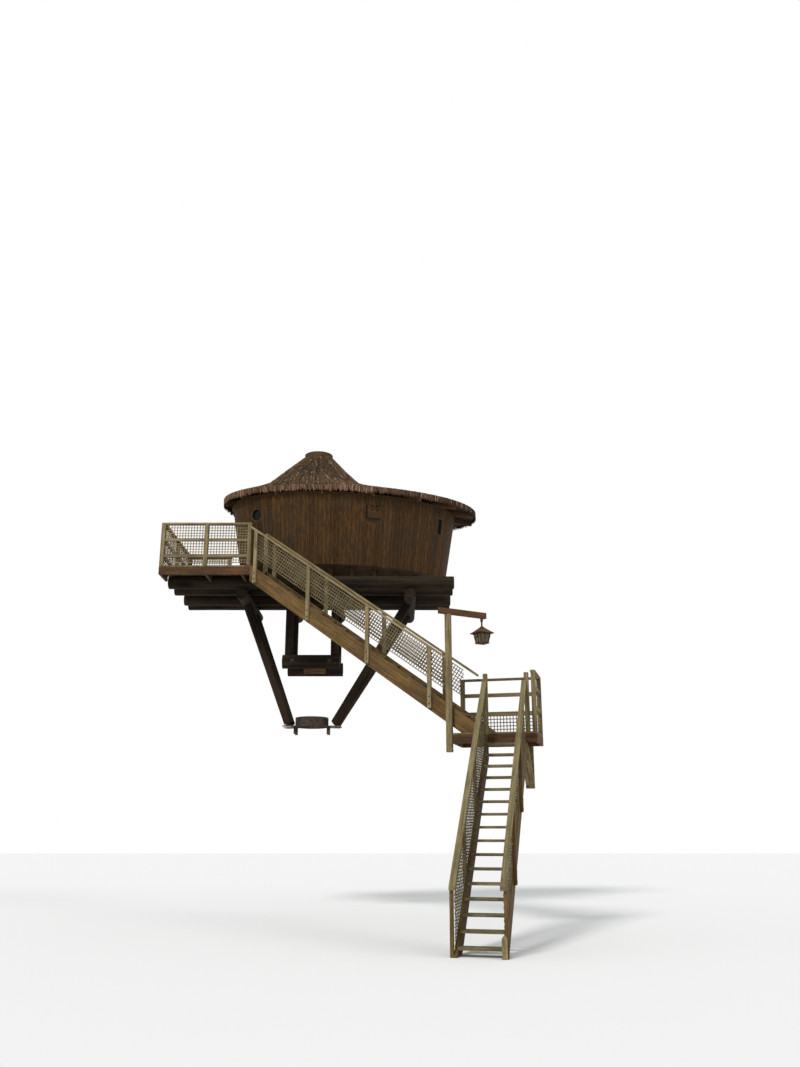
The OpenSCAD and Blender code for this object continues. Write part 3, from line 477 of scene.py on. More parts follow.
def bark(name, light, dark):
    """Rough log skin: ridges along the log from stretched noise, dark furrows and patches of dirt."""
    made, tree, shader = material(name)
    streak, fibre, _ = grain_parts(tree, stored(tree, "grain", "Vector"), 0.03)
    base = mix_colour(tree, ramp(tree, streak, 0.38, 0.6), colour(*dark), colour(*light))
    weathered(tree, shader, base, algae=0.06, dirt=0.5)
    fill(tree, shader, Roughness=0.88)
    relief(tree, shader, weighted(tree, streak, 1.0, fibre, 0.5), strength=0.8, distance=0.008)
    return made


def thatch_material(name, light, dark, pale):
    """Weathered straw: each tuft has its tone, fibres run along it, and the tufts of the rim turn pale,
    partly as bleached straw and partly as painted sunlight.
    """
    made, tree, shader = material(name)
    tone = stored(tree, "tone", "Fac")
    streak, fibre, _ = grain_parts(tree, stored(tree, "grain", "Vector"), 0.006)
    mixed = ramp(tree, weighted(tree, streak, 0.5, tone, 0.5), 0.25, 0.75)
    base = mix_colour(tree, mixed, colour(*dark), colour(*light))
    # Tones over 1 turn pale: bleached straw, and on the rim also painted sunlight
    base = mix_colour(tree, ramp(tree, tone, 0.98, 1.6), base, colour(*pale))
    weathered(tree, shader, base, algae=0.1, dirt=0.4)
    fill(tree, shader, Roughness=0.9)
    relief(tree, shader, fibre, strength=0.6, distance=0.004)
    return made


def steel_material():
    """Dulled galvanised steel with patches of rust."""
    made, tree, shader = material("dull_steel")
    rust = noise(tree, object_place(tree), 14.0, 5.0, Roughness=0.7)
    mask = ramp(tree, rust, 0.42, 0.62)
    fill(tree, shader, Base_Color=mix_colour(tree, mask, colour(66, 64, 60), colour(62, 38, 23)),
         Metallic=math_node(tree, "MULTIPLY_ADD", mask, -0.7, 0.7),
         Roughness=math_node(tree, "MULTIPLY_ADD", mask, 0.4, 0.45))
    relief(tree, shader, rust, strength=0.3, distance=0.001)
    return made


def glass_material(name, tint, clear):
    """Window glass of a tint and a share of clearness, with a faint smear in its gloss."""
    made, tree, shader = material(name)
    smear = noise(tree, object_place(tree), 6.0, 3.0)
    fill(tree, shader, Base_Color=colour(*tint), Transmission_Weight=clear, IOR=1.45,
         Roughness=times(tree, smear, 0.2))
    return made


GREY = wood("grey_softwood", (126, 112, 82), (78, 66, 44), algae=0.22, dirt=0.45)
PALE = wood("pale_softwood", (140, 124, 90), (94, 80, 56), algae=0.2, dirt=0.4)
BROWN = wood("orange_brown_timber", (108, 82, 48), (68, 50, 28), algae=0.2, dirt=0.4)
RED = wood("red_brown_timber", (92, 62, 40), (54, 36, 22), algae=0.12, dirt=0.45)
WALL = wood("wall_board", (76, 50, 21), (38, 25, 11), algae=0.05, dirt=0.5, size=0.01, rough=0.7, spread=0.5)
# Near-black painted shadow, laid where the shutter's gap and its holes lie in shade
SHADOW = wood("painted_shadow_timber", (20, 15, 10), (10, 8, 6), algae=0.0, dirt=0.3)
LATH = wood("trellis_lath", (122, 108, 80), (76, 64, 44), algae=0.3, dirt=0.5)
LINING = wood("wall_lining", (92, 68, 42), (64, 46, 28), algae=0.05, dirt=0.3, upright=True)
LOG = bark("log_skin", (44, 30, 21), (17, 11, 8))
THATCH = thatch_material("straw", (98, 74, 54), (40, 28, 20), (188, 148, 120))
STEEL = steel_material()
GLASS = glass_material("window_pane", (12, 18, 14), 0.08)
LAMP_GLASS = glass_material("lamp_pane", (120, 112, 84), 0.55)


def paint(data, made):
    """Gives a mesh one material."""
    data.materials.clear()
    data.materials.append(made)


def finish(piece, made, *nodes, slot, body="frame"):
    """Gives a piece its material, its body and the CAD nodes that it stands for. slot is not used."""
    paint(piece.data, made)
    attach(piece, body)
    if nodes:
        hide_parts(*nodes)


def repaint(node, made):
    """A CAD node keeps its mesh and gets a better material."""
    paint(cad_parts[node].data, made)


# Trellis

LATH_W, LATH_T, LATH_PITCH = 0.016, 0.006, 0.06
LAYER_OUT = 0.0032
SHORTEST_LATH = 0.04


def lath_lines(start, way, slope, run, high):
    """Ends of the laths of one panel that falls along way by slope, with its two directions: one family runs
    along the slope and the other square across it, and both are cut upright at the panel's two ends."""
    c, s = math.cos(slope), math.sin(slope)
    down = np.array([way[0] * c, way[1] * c, -s])
    rise = np.array([way[0] * s, way[1] * s, c])
    t = np.linspace(LATH_W / 2, high - LATH_W / 2, max(2, round(high / LATH_PITCH) + 1))
    line = start + t[:, None] * rise
    along = line - (t * s / c)[:, None] * down, line + ((run - t * s) / c)[:, None] * down
    d = np.arange(-high * s / c + LATH_W / 2, run / c, LATH_PITCH)
    low = np.clip(-d * c / s, 0, high) if s > 0.01 else 0 * d
    top = np.clip((run - d * c) / s, 0, high) if s > 0.01 else high + 0 * d
    keep = top - low > SHORTEST_LATH
    d, low, top = (v[keep][:, None] for v in (d, low, top))
    line = start + d * down
    return along, (line + low * rise, line + top * rise), down, rise


def put_trellis(name, panels, made, node, seed):
    """Thin laths in two crossing layers, for every panel, as one mesh."""
    parts = []
    for start, way, slope, run, high in panels:
        along, across, down, rise = lath_lines(np.asarray(start, float), way, slope, run, high)
        out = LAYER_OUT * np.cross(down, rise)
        for (a, b), side, layer in ((along, rise, out), (across, down, -out)):
            parts.append(board_rings(a + layer, b + layer, side, LATH_W, LATH_T, 0.001))
    rings, grain = (np.concatenate(part) for part in zip(*parts))
    rng = np.random.default_rng(seed)
    grain = grain + rng.uniform(0, 30, (len(rings), 1, 1, 3))
    rings = rings + rng.normal(0, 0.0008, (len(rings), 1, 1, 3))
    finish(put_tubes(name, rings, grain, rng.uniform(0, 1, len(rings))), made, node, slot="grey_timber")


def add_trellises():
    """Trellis in the bays of the deck's rails, on both sides of both flights and behind the landing."""
    over_boards = 0.06
    high = RAIL_H - RAIL_T - over_boards
    bay = (DECK_RIGHT - DECK_LEFT) / 2 - 1.5 * POST_W
    side_bay = (DECK_BACK - DECK_FRONT) / 2 - POST_W
    front_y, left_x, back_y = DECK_FRONT + 0.051, DECK_LEFT + 0.029, DECK_BACK - 0.029
    first_x, first_y = DECK_LEFT + POST_W, DECK_FRONT + POST_W
    middle_x, middle_y = (DECK_LEFT + DECK_RIGHT) / 2 + POST_W / 2, (DECK_FRONT + DECK_BACK) / 2 + POST_W
    bays = ((first_x, front_y, (1, 0), bay), (middle_x, front_y, (1, 0), bay),
            (left_x, first_y, (0, 1), side_bay), (left_x, middle_y, (0, 1), side_bay - POST_W),
            (first_x, back_y, (1, 0), bay + POST_W / 2))
    panels = [((x, y, DECK_Z + over_boards), way, 0.0, run, high) for x, y, way, run in bays]
    put_trellis("deck_trellis", panels, PALE, "deck_lattice", 201)
    first, last, inset = 0.02 * UPPER_RUN, 0.865 * UPPER_RUN, 0.011
    over_nosing, upright_high = 0.24, 0.52
    foot_z = DECK_Z + over_nosing - first * math.tan(UPPER_SLOPE)
    high = upright_high * math.cos(UPPER_SLOPE)
    panels = [(placed(UPPER, first, y, foot_z), heading(UPPER, 1, 0), UPPER_SLOPE, last - first, high)
              for y in (inset, UPPER_WIDE - inset)]
    put_trellis("upper_trellis", panels, LATH, "upper_lattice", 202)
    back_inset, high = 0.065, 0.329
    start = placed(LANDING, POST_W, LANDING_D - back_inset, LANDING_Z + over_boards)
    panels = [(start, heading(LANDING, 1, 0), 0.0, LANDING_W - 2 * POST_W, high)]
    put_trellis("landing_trellis", panels, LATH, "landing_lattice", 203)
    outset, before, below, run, high = 0.039, 0.03, 0.06, 3.15, 0.6
    down = heading(LANDING, 0, -1)
    panels = [(placed(LANDING, x, -before, LANDING_Z - below), down, LOWER_SLOPE, run, high)
              for x in (LOWER_X - outset, LOWER_X + (LOWER_W + outset))]
    put_trellis("lower_trellis", panels, LATH, "lower_lattice", 204)


add_trellises()


# Boards, rails and newels

PLANK_T, PLANK_GAP, PLANK_DOWN = 0.034, 0.006, 0.0175


def add_deck_boards():
    """Deck boards from front to back, each as long as the deck's outline lets it be beside the hut."""
    pitch, hut_inset, edge_inset, shortest = 0.12, 0.17, 0.002, 0.08
    right_x = -0.774
    outline_x = np.array([DECK_LEFT, DECK_RIGHT, -0.924, right_x])
    front = np.array([DECK_FRONT, DECK_FRONT, -0.916, -0.65])
    y = np.linspace(DECK_FRONT, DECK_BACK, 1200)
    z = DECK_Z - PLANK_DOWN
    starts, ends = [], []
    for x in np.arange(DECK_LEFT + pitch / 2, right_x - 0.006, pitch):
        inside = np.ones(len(y), bool)
        for edge in (x - pitch / 2 + edge_inset, x + pitch / 2 - edge_inset):
            local = turned(np.stack([edge + 0 * y, y], -1) - HUT_CENTRE, -HUT_TURN)
            inside &= ((local / [HUT_A - hut_inset, HUT_B - hut_inset]) ** 2).sum(-1) > 1
            back = np.interp(edge, [-1.024, right_x], [DECK_BACK, 0.0])
            inside &= (y >= np.interp(edge, outline_x, front) - 1e-6) & (y <= back + 1e-6)
        turns = np.flatnonzero(np.diff(np.concatenate([[0], inside.astype(int), [0]])))
        for first, last in zip(turns[::2], turns[1::2] - 1):
            if y[last] - y[first] > shortest:
                starts.append((x, y[first], z))
                ends.append((x, y[last], z))
    boards = put_boards("deck_planks", starts, ends, (1, 0, 0), pitch - PLANK_GAP, PLANK_T, 210)
    finish(boards, GREY, "deck_boards", slot="grey_timber")


def add_landing_boards():
    """Eight landing boards along its front edge."""
    count = 8
    pitch = LANDING_D / count
    y = (np.arange(count) + 0.5) * pitch
    start, end = (placed(LANDING, x, y, LANDING_Z - PLANK_DOWN) for x in (0.0, LANDING_W))
    boards = put_boards("landing_planks", start, end, heading(LANDING, 0, 1), pitch - PLANK_GAP, PLANK_T, 211)
    finish(boards, GREY, "landing_boards", slot="grey_timber")


def add_small_timber():
    """Mid rails round the deck, a newel at the head of each flight, and a pointed stake at the lower flight's
    foot."""
    mid_rail_y, half_post = 0.055, POST_W / 2
    first_x, last_x = DECK_LEFT + POST_W, DECK_RIGHT - POST_W
    front_y, left_x, back_y = DECK_FRONT + 0.026, DECK_LEFT + mid_rail_y, DECK_BACK - mid_rail_y
    sides = np.array([[[first_x, front_y], [last_x, front_y]],
                      [[left_x, DECK_FRONT + POST_W], [left_x, DECK_BACK - POST_W]],
                      [[first_x, back_y], [DECK_RIGHT - 0.95, back_y]]])
    levels = DECK_Z + np.array([0.19, 0.56]) * RAIL_H + 0.036
    ends = np.concatenate([np.insert(sides, 2, z, axis=2) for z in levels])
    rails = put_boards("deck_mid_rails", ends[:, 0], ends[:, 1], (0, 0, 1), 0.07, 0.026, 212)
    finish(rails, PALE, slot="grey_timber")
    head = DECK_Z + 0.86 + POST_W * math.tan(UPPER_SLOPE) - 0.06
    low = np.stack([placed(UPPER, -half_post, UPPER_WIDE - half_post, DECK_Z),
                    placed(LANDING, LOWER_X - half_post, half_post + 0.001, LANDING_Z)])
    high = low.copy()
    high[:, 2] = head, LANDING_Z + 1.04
    side = np.stack([heading(UPPER, 1.0, 0.0), heading(LANDING, 1.0, 0.0)])
    thick = POST_W - 0.002
    newels = put_boards("newels", low, high, side, thick, thick, 213, ease=0.005)
    finish(newels, PALE, slot="grey_timber")
    foot = placed(LANDING, LOWER_X + LOWER_W + 0.05, -3.274, FOOT_Z)
    rings = square_rings((foot[:2], LANDING[1]), [(0.037, 0), (0.037, 0.26), (0.006, 0.31)], foot[2])
    upright = np.array([[0, 1.0, 0], [0, 0, 1], [1, 0, 0]])
    stake = put_tubes("foot_stake", rings[None], (rings - foot)[None] @ upright, [0.9])
    finish(stake, PALE, slot="grey_timber")


# Logs

def put_logs(name, starts, ends, radius, seed, rings=40):
    """Logs between points: the radius swells and ripples inside its full size, and the ends are drawn in.
    Each ring is a circle of radius times one less the noise at that place on the log's skin."""
    swelling, ripple, sides = 0.035, 0.03, 28
    count = len(starts)
    along = unit(ends - starts)
    right = unit(np.cross(np.where(np.abs(along[:, 2:3]) > 0.9, [[1.0, 0, 0]], [[0, 0, 1.0]]), along))
    up = np.cross(along, right)
    length = np.linalg.norm(ends - starts, axis=-1)
    t = np.concatenate([[0, 0, 0.004], np.linspace(0.02, 0.98, rings), [0.996, 1, 1]])
    inward = np.ones(len(t))
    inward[[0, -1]], inward[[1, -2]] = 0.5, 0.955
    angle = angles(sides)
    place = t[:, None] * length[:, None, None] + 0 * angle
    skin = stacked(place * 0.35, radius * np.cos(angle), radius * np.sin(angle))
    rng = np.random.default_rng(seed)
    skin = skin + rng.uniform(0, 40, (count, 1, 1, 3))
    swell = 0.5 + 0.5 * waves(skin, seed, 0.7, 2)
    ridge = 0.5 + 0.5 * waves(skin * [1, 6, 6], seed + 1, 0.35, 3)
    r = radius * (1 - swelling * swell - ripple * ridge) * inward[:, None]
    over, rise = r * np.cos(angle), r * np.sin(angle)
    rings_at = rings_from(starts[:, None, None], (place, along), (over, right), (rise, up))
    grain = stacked(place, over, rise) + rng.uniform(0, 30, (count, 1, 1, 3))
    return put_tubes(name, rings_at, grain, rng.uniform(0, 1, count), smooth=True, crease=0.9)


LOG_R, BEARER_R, BRACE_R = 0.145, 0.13, 0.105
DECK_BOARD_T, CLEARANCE = 0.035, 0.0003
LOG_Z = DECK_Z - DECK_BOARD_T - LOG_R
BEARER_Z = LOG_Z - LOG_R - BEARER_R - CLEARANCE
LOG_ROWS = (-0.76, -0.15, 0.86, 1.33)
LOG_LEFT, LOG_RIGHT = -3.08, 3.10
BEARER_X = (-1.47, -0.5, 0.5, 2.15)
BEARER_LEN = 2.5


def add_logs():
    """Platform logs along X on bearer logs along Y."""
    left = stacked(LOG_LEFT, LOG_ROWS, LOG_Z)
    logs = put_logs("platform_logs_bark", left, left + [LOG_RIGHT - LOG_LEFT, 0, 0], LOG_R, 11, rings=70)
    finish(logs, LOG, "platform_logs", slot="log")
    front = stacked(BEARER_X, AXIS_Y - BEARER_LEN / 2, BEARER_Z)
    logs = put_logs("bearer_logs_bark", front, front + [0, BEARER_LEN, 0], BEARER_R, 12)
    finish(logs, LOG, "bearer_logs", slot="log")


COLLAR_Z, FOOT_R, BRACE_SPREAD, SEAT_T = -1.35, 0.507, 0.62, 0.014


def add_braces():
    """Braces from the collar's seats up to the outer bearers, in front and behind."""
    for node, side in (("front_braces", -1), ("rear_braces", 1)):
        tops = stacked((BEARER_X[0], BEARER_X[3]), AXIS_Y + side * BRACE_SPREAD, BEARER_Z)
        turn = np.arctan2(tops[:, 1] - AXIS_Y, tops[:, 0])
        feet = stacked(FOOT_R * np.cos(turn), AXIS_Y + FOOT_R * np.sin(turn), COLLAR_Z + SEAT_T)
        along = unit(tops - feet)
        low = feet + along * BRACE_R * 0.55
        high = tops - along * BEARER_R * 0.8
        finish(put_logs(node + "_bark", low, high, BRACE_R, 20 + side), LOG, node, slot="log")


add_logs()
add_braces()


# The hut's walls

def oval_point(t, a, b, centre, turn, out=0.0):
    """A point of an oval at the angle parameter t, moved out along its normal by out."""
    plain = np.stack([a * np.cos(t), b * np.sin(t)], -1)
    normal = unit(np.stack([b * np.cos(t), a * np.sin(t)], -1))
    return centre + turned(plain + normal * np.asarray(out)[..., None], turn)


def hut_point(t, z, out=0.0):
    """A point of the hut's leaning wall at parameter t and height z, in three coordinates."""
    t, z, out = np.broadcast_arrays(t, z, out)
    plan = oval_point(t, HUT_A, HUT_B, HUT_CENTRE, HUT_TURN, (z - FLOOR_Z) * LEAN + out)
    return np.concatenate([plan, z[..., None]], -1)


def corner_parameter(i):
    """The oval's parameter at a corner of the CAD wall."""
    return (i + FIRST_CORNER) * 2 * np.pi / SEGMENTS


def even_parameters(count, start, end):
    """Parameters that cut the oval from start to end into lengths that are alike, by its arc length."""
    t = np.linspace(start, end, 2000)
    p = oval_point(t, HUT_A, HUT_B, HUT_CENTRE, HUT_TURN)
    run = np.concatenate([[0], np.cumsum(np.linalg.norm(np.diff(p, axis=0), axis=1))])
    return np.interp(np.linspace(0, run[-1], count + 1), run, t)


WINDOW_Z = FLOOR_Z + 1.1
PORTHOLE = {"t": corner_parameter(18.5), "half": 0.143, "high": 0.143, "round": True}
SHUTTER = {"t": corner_parameter(24.5), "half": 0.2, "high": 0.2, "round": False}
SLIT = {"t": corner_parameter(28.5), "half": 0.108, "high": 0.188, "round": False}
BOARD_W = 0.09
BOARD_OUT = 0.016
SKIRT = 0.045
DOOR_H = 1.38


def strip_bounds(edges):
    """Left and right parameters, low and high levels and board number of every strip of cladding, cut round
    the windows."""
    left, right = edges[:-1], edges[1:]
    low = np.full(len(left), FLOOR_Z - SKIRT)
    high = np.full(len(left), WALL_TOP_Z - 0.002)
    board = np.arange(len(left))
    for window in (PORTHOLE, SHUTTER, SLIT):
        centre = hut_point(window["t"], WINDOW_Z)
        speed = np.linalg.norm(hut_point(window["t"] + 1e-4, WINDOW_Z) - centre) / 1e-4
        half = window["half"] / speed
        for cut in window["t"] + np.linspace(-half, half, 13 if window["round"] else 3):
            hit = (left < cut - 1e-5) & (right > cut + 1e-5)
            left = np.concatenate([left, np.full(hit.sum(), cut)])
            right = np.concatenate([np.where(hit, cut, right), right[hit]])
            low, high, board = (np.concatenate([v, v[hit]]) for v in (low, high, board))
        middle = (left + right) / 2 - window["t"]
        reach = np.full(len(left), window["high"])
        if window["round"]:
            reach = reach * np.sqrt(np.clip(1 - (middle / half) ** 2, 0, 1))
        split = (np.abs(middle) < half) & (high > WINDOW_Z)
        left, right, board = (np.concatenate([v, v[split]]) for v in (left, right, board))
        low = np.concatenate([low, WINDOW_Z + reach[split]])
        high = np.concatenate([np.where(split, WINDOW_Z - reach, high), high[split]])
    return left, right, low, high, board


def add_cladding(side, start, end, seed):
    """Upright boards on the oval wall from one corner to another: each is a thin wedge with eased edges that
    follows the wall's lean, stands out by its own small amount and keeps a dark joint beside it."""
    t0, t1 = corner_parameter(start), corner_parameter(end)
    p = oval_point(np.linspace(t0, t1, 400), HUT_A, HUT_B, HUT_CENTRE, HUT_TURN)
    count = max(1, round(np.linalg.norm(np.diff(p, axis=0), axis=1).sum() / BOARD_W))
    left, right, low, high, board = strip_bounds(even_parameters(count, t0, t1))
    if side == "over_door":
        low = np.full(len(left), FLOOR_Z + DOOR_H)
    rng = np.random.default_rng(seed)
    own_out = rng.uniform(-0.003, 0.002, count)[board] + BOARD_OUT
    tone = rng.uniform(0, 1, count)[board]
    low = low + rng.uniform(-0.006, 0.006, count)[board] * (low < FLOOR_Z)
    z = low[:, None] + (high - low)[:, None] * np.linspace(1, 0, 9)
    width = (right - left)[:, None]
    # The half joint and the eased edge are steps of the oval's parameter, and the other measures are lengths
    gap = np.minimum(0.0022 / BOARD_W * 0.04, 0.1 * width)
    a, b = left[:, None] + gap, right[:, None] - gap
    e = np.minimum(0.0012, 0.2 * width)
    inner, ease = -0.012, 0.003
    face = own_out[:, None] + 0.0012 * waves(stacked(a * 40, z, 0 * z), seed, 0.6, 2)
    corners = ((a, face - ease), (a + e, face), (b - e, face), (b, face - ease), (b, inner), (a, inner))
    ring = np.stack([hut_point(t, z, out) for t, out in corners], 2)
    grain = stacked(z[:, :, None], ring[..., 0], ring[..., 1])
    grain = grain + rng.uniform(0, 30, (count, 3))[board][:, None, None]
    finish(put_tubes("cladding_" + side, ring, grain, tone), WALL, slot="wall_board")


WALLS = (("left", 16, 20, 30), ("front", 20, 24, 31), ("front_right", 24, 28, 32), ("right", 28, 32, 33),
         ("rear_right", 0, 5, 34), ("rear", 5, 9, 35), ("rear_left", 9, 13, 36), ("over_door", 13, 16, 40))
for side, start, end, seed in WALLS:
    add_cladding(side, start, end, seed)
    repaint("wall_" + side, LINING)


# The shutter's inlays, the bolts and the door

def points_of(node):
    """The points of a CAD node's mesh."""
    return np.array([v.co[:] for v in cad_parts[node].data.vertices])


def add_shutter_gap_shade():
    """Painted shadow: near-black strips in the rebate that shows at the shutter's left edge and under it,
    where the gap lies in shade, and near-black discs as painted shade in its two round holes, all laid on its
    CAD face."""
    spots = points_of("shutter")
    middle = (spots.min(0) + spots.max(0)) / 2
    outward = unit(np.append(middle[:2] - HUT_CENTRE, 0.0))
    own = spots - spots.mean(0)
    face = np.linalg.svd(own, full_matrices=False)[2][2]
    face = face * np.sign(face @ outward)
    wide = unit(np.cross([0, 0, 1.0], face))
    high = np.cross(face, wide)
    proud, half = 0.0085, 0.182
    middle = spots.mean(0) + ((own @ face).max() + proud) * face
    corner = middle - half * wide - half * high
    ends = corner + np.array([0.36 * high, 0.33 * wide])
    # Near-black strips on the frame's left and bottom faces: painted shadow of the gap round the shutter
    strips = put_boards("shutter_rebate_shadow", corner, ends, np.array([wide, high]), 0.03, 0.004, 219, ease=0.001)
    finish(strips, SHADOW, slot="wall_board")
    # Two near-black discs on the face: painted shade standing in for the shutter's round holes
    spots = middle + np.array([[-0.05], [0.05]]) * wide + 0.105 * high
    profile = [(0.024, -0.006), (0.024, 0.002), (0.018, 0.0025)]
    holes = put_discs("shutter_hole_shade", spots, np.array([face, face]), profile)
    finish(holes, SHADOW, slot="wall_board")


def put_discs(name, spots, ways, profile):
    """Small turned things at spots, their radii and heights along their ways given by the profile."""
    sides = 12
    side = unit(np.cross(ways, [0, 0, 1.0]))
    over = np.cross(side, ways)
    radius, height = np.array(profile).T[..., None]
    u, v = radius * np.cos(angles(sides)), radius * np.sin(angles(sides))
    rings = rings_from(spots[:, None, None], (height, ways), (u, side), (v, over))
    return put_tubes(name, rings, rings, np.zeros(len(spots)))


def add_bolts():
    """Coach bolts with washers where the flights' posts meet their stringers, and in the landing's front."""
    out = POST_W * 0.6
    upper_x = np.repeat(np.array([0.02, 0.27, 0.53, 0.78]) * UPPER_RUN + POST_W / 2, 2)
    upper_z = DECK_Z - upper_x * math.tan(UPPER_SLOPE) - np.tile([0.09, 0.22], 4)
    # The lower flight falls by as much as it runs
    down = np.repeat(np.array([0.33, 0.66]) * LOWER_RUN + POST_W / 2, 2)
    lower_z = LANDING_Z - down - np.tile([0.1, 0.24], 2)
    spots, ways = [], []
    for where, x, y, z, way in (
            (UPPER, upper_x, -out, upper_z, (0, -1)),
            (UPPER, upper_x, UPPER_WIDE + out, upper_z, (0, 1)),
            (LANDING, np.linspace(0.1, LANDING_W - 0.1, 6), 0.0, LANDING_Z - 0.11, (0, -1)),
            (LANDING, LOWER_X - STRINGER_T - out, -down, lower_z, (-1, 0)),
            (LANDING, LOWER_X + LOWER_W + STRINGER_T + out, -down, lower_z, (1, 0))):
        spots.append(placed(where, x, y, z))
        ways.append(np.broadcast_to(heading(where, *way), spots[-1].shape))
    profile = [(0.016, -0.001), (0.016, 0.002), (0.009, 0.0025), (0.009, 0.005), (0.005, 0.008)]
    bolts = put_discs("coach_bolts", np.concatenate(spots), np.concatenate(ways), profile)
    finish(bolts, STEEL, slot="steel")


def add_door():
    """Door of upright boards with three ledges, strap hinges and a wooden pull, between its CAD corners."""
    spots = points_of("door")
    spots = spots[np.unique(np.round(spots, 4), axis=0, return_index=True)[1]]
    spots = spots[np.argsort(spots[:, 2])]
    low, high = spots[:4], spots[-4:]
    plan = low[:, :2].mean(0)
    way, normal = np.linalg.svd(low[:, :2] - plan, full_matrices=False)[2]
    normal = normal * np.sign(normal @ (plan - HUT_CENTRE))
    low, high = (part[np.argsort(-(part[:, :2] @ normal))] for part in (low, high))
    faces = [sorted(face, key=lambda p: p[:2] @ way) for face in (low[:2], high[:2], low[2:])]
    (foot_a, foot_b), (top_a, top_b), (in_a, _) = (np.array(face) for face in faces)
    depth = in_a - foot_a
    count = 7
    u = ((np.arange(count) + 0.5) / count)[:, None]
    start = foot_a + u * (foot_b - foot_a) + depth * 0.5
    end = top_a + u * (top_b - top_a) + depth * 0.5
    across = unit(foot_b - foot_a)
    # The boards don't taper like the door, so they lap at the foot, every other one set back
    wide = np.linalg.norm(top_b - top_a) / count - 0.003
    thick = np.where(np.arange(count) % 2, 0.03, 0.038)
    finish(put_boards("door_boards", start, end, across, wide, thick, 220), RED, "door", slot="red_timber")
    t = np.array([0.14, 0.5, 0.86])[:, None]
    left, right = foot_a + t * (top_a - foot_a), foot_b + t * (top_b - foot_b)
    outward, rise = -unit(depth), unit(top_a - foot_a)
    middle, reach = (left + right) / 2, (right - left) * 0.42
    ledge = middle + outward * 0.011
    ledges = put_boards("door_ledges", ledge - reach, ledge + reach, rise, 0.11, 0.022, 221)
    finish(ledges, RED, slot="red_timber")
    strap, hinge_reach = middle[[0, 2]] + outward * 0.0255, reach[[0, 2]]
    straps = put_boards("door_straps", strap - hinge_reach, strap + hinge_reach * 0.4, rise, 0.04, 0.006, 222)
    finish(straps, STEEL, slot="steel")
    pull, half = middle[1] + reach[1] * 0.8 + outward * 0.045 + rise * 0.12, rise * 0.08
    grip = put_boards("door_pull", pull - half, pull + half, across, 0.03, 0.03, 223, ease=0.008)
    finish(grip, RED, slot="red_timber")


# The thatch

def roof_ray(i):
    """Eave point, direction and span from the roof's axis at eave number i, a real number round the oval."""
    t = (np.asarray(i, float) + FIRST_CORNER) * 2 * np.pi / SEGMENTS
    eave = oval_point(t, EAVE_A, EAVE_B, EAVE_CENTRE, HUT_TURN)
    away = eave - [0, AXIS_Y]
    return eave, unit(away), np.linalg.norm(away, axis=-1)


def roof_surface(i, s, rises, lift=0.0, rings=TOP_R, shift=CAP_ASIDE):
    """A point of the roof: s runs from 0 at the eave by 1 at the cap's foot and 2 at the neck to 3 at the
    collar. The plan runs straight between these rings, of which the cap's lie a little aside, and the height
    runs straight between rises at s 0, 0.5, 1, 2 and 3."""
    i, s = np.broadcast_arrays(np.asarray(i, float), np.asarray(s, float))
    eave, way, _ = roof_ray(i)
    radius = np.interp(s, [1, 2, 3], rings)
    aside = np.interp(s, [1, 2, 3], [shift, shift * 0.75, 0])
    height = np.interp(s, [0, 0.5, 1, 2, 3], rises)
    cap = [0, AXIS_Y] + way * radius[..., None] + aside[..., None] * [1, 0]
    share = np.minimum(s, 1)[..., None]
    plan = np.where(s[..., None] < 1, eave * (1 - share) + cap * share, cap)
    return np.concatenate([plan, (EAVE_Z + height + lift)[..., None]], -1)


def roof_top(i, s, lift):
    """The thatch's upper face, raised by lift."""
    return roof_surface(i, s, RISE, THATCH_T + lift)


def put_thatch_core():
    """The thatch's body: one closed ring whose section runs up the rim, over to the collar and back below."""
    i = np.linspace(0, SEGMENTS, 257)[:-1, None]
    s = np.concatenate([np.linspace(0.03, 1, 16), np.linspace(1.1, 3, 18)])
    top = roof_top(i, s, -0.03)
    top = top + waves(top * [1, 1, 1.5], 51, 0.35, 3)[..., None] * [0, 0, 0.014]
    under = roof_surface(i, s[::-1], UNDER, 0.004, UNDER_R, 0)
    rim = roof_surface(i, np.full(5, 0.012), UNDER, np.linspace(0.012, THATCH_T - 0.065, 5), UNDER_R, 0)
    rim[..., :2] += waves(rim * 3, 52, 0.3, 3)[..., None] * 0.008 * unit(rim[..., :2] - [0, AXIS_Y])
    section = np.concatenate([rim, top, under], 1)
    grain = stacked(section[..., 2] * 2, i * 0.5, section[..., 0])
    core = put_tubes("thatch_core", section[None], grain[None], [0.25], smooth=True, closed=True)
    finish(core, THATCH, "thatch_front", "thatch_right", "thatch_rear", "thatch_left", slot="thatch")


TUFTS, HANGING, ON_SLOPE = 8500, 0.22, 0.72


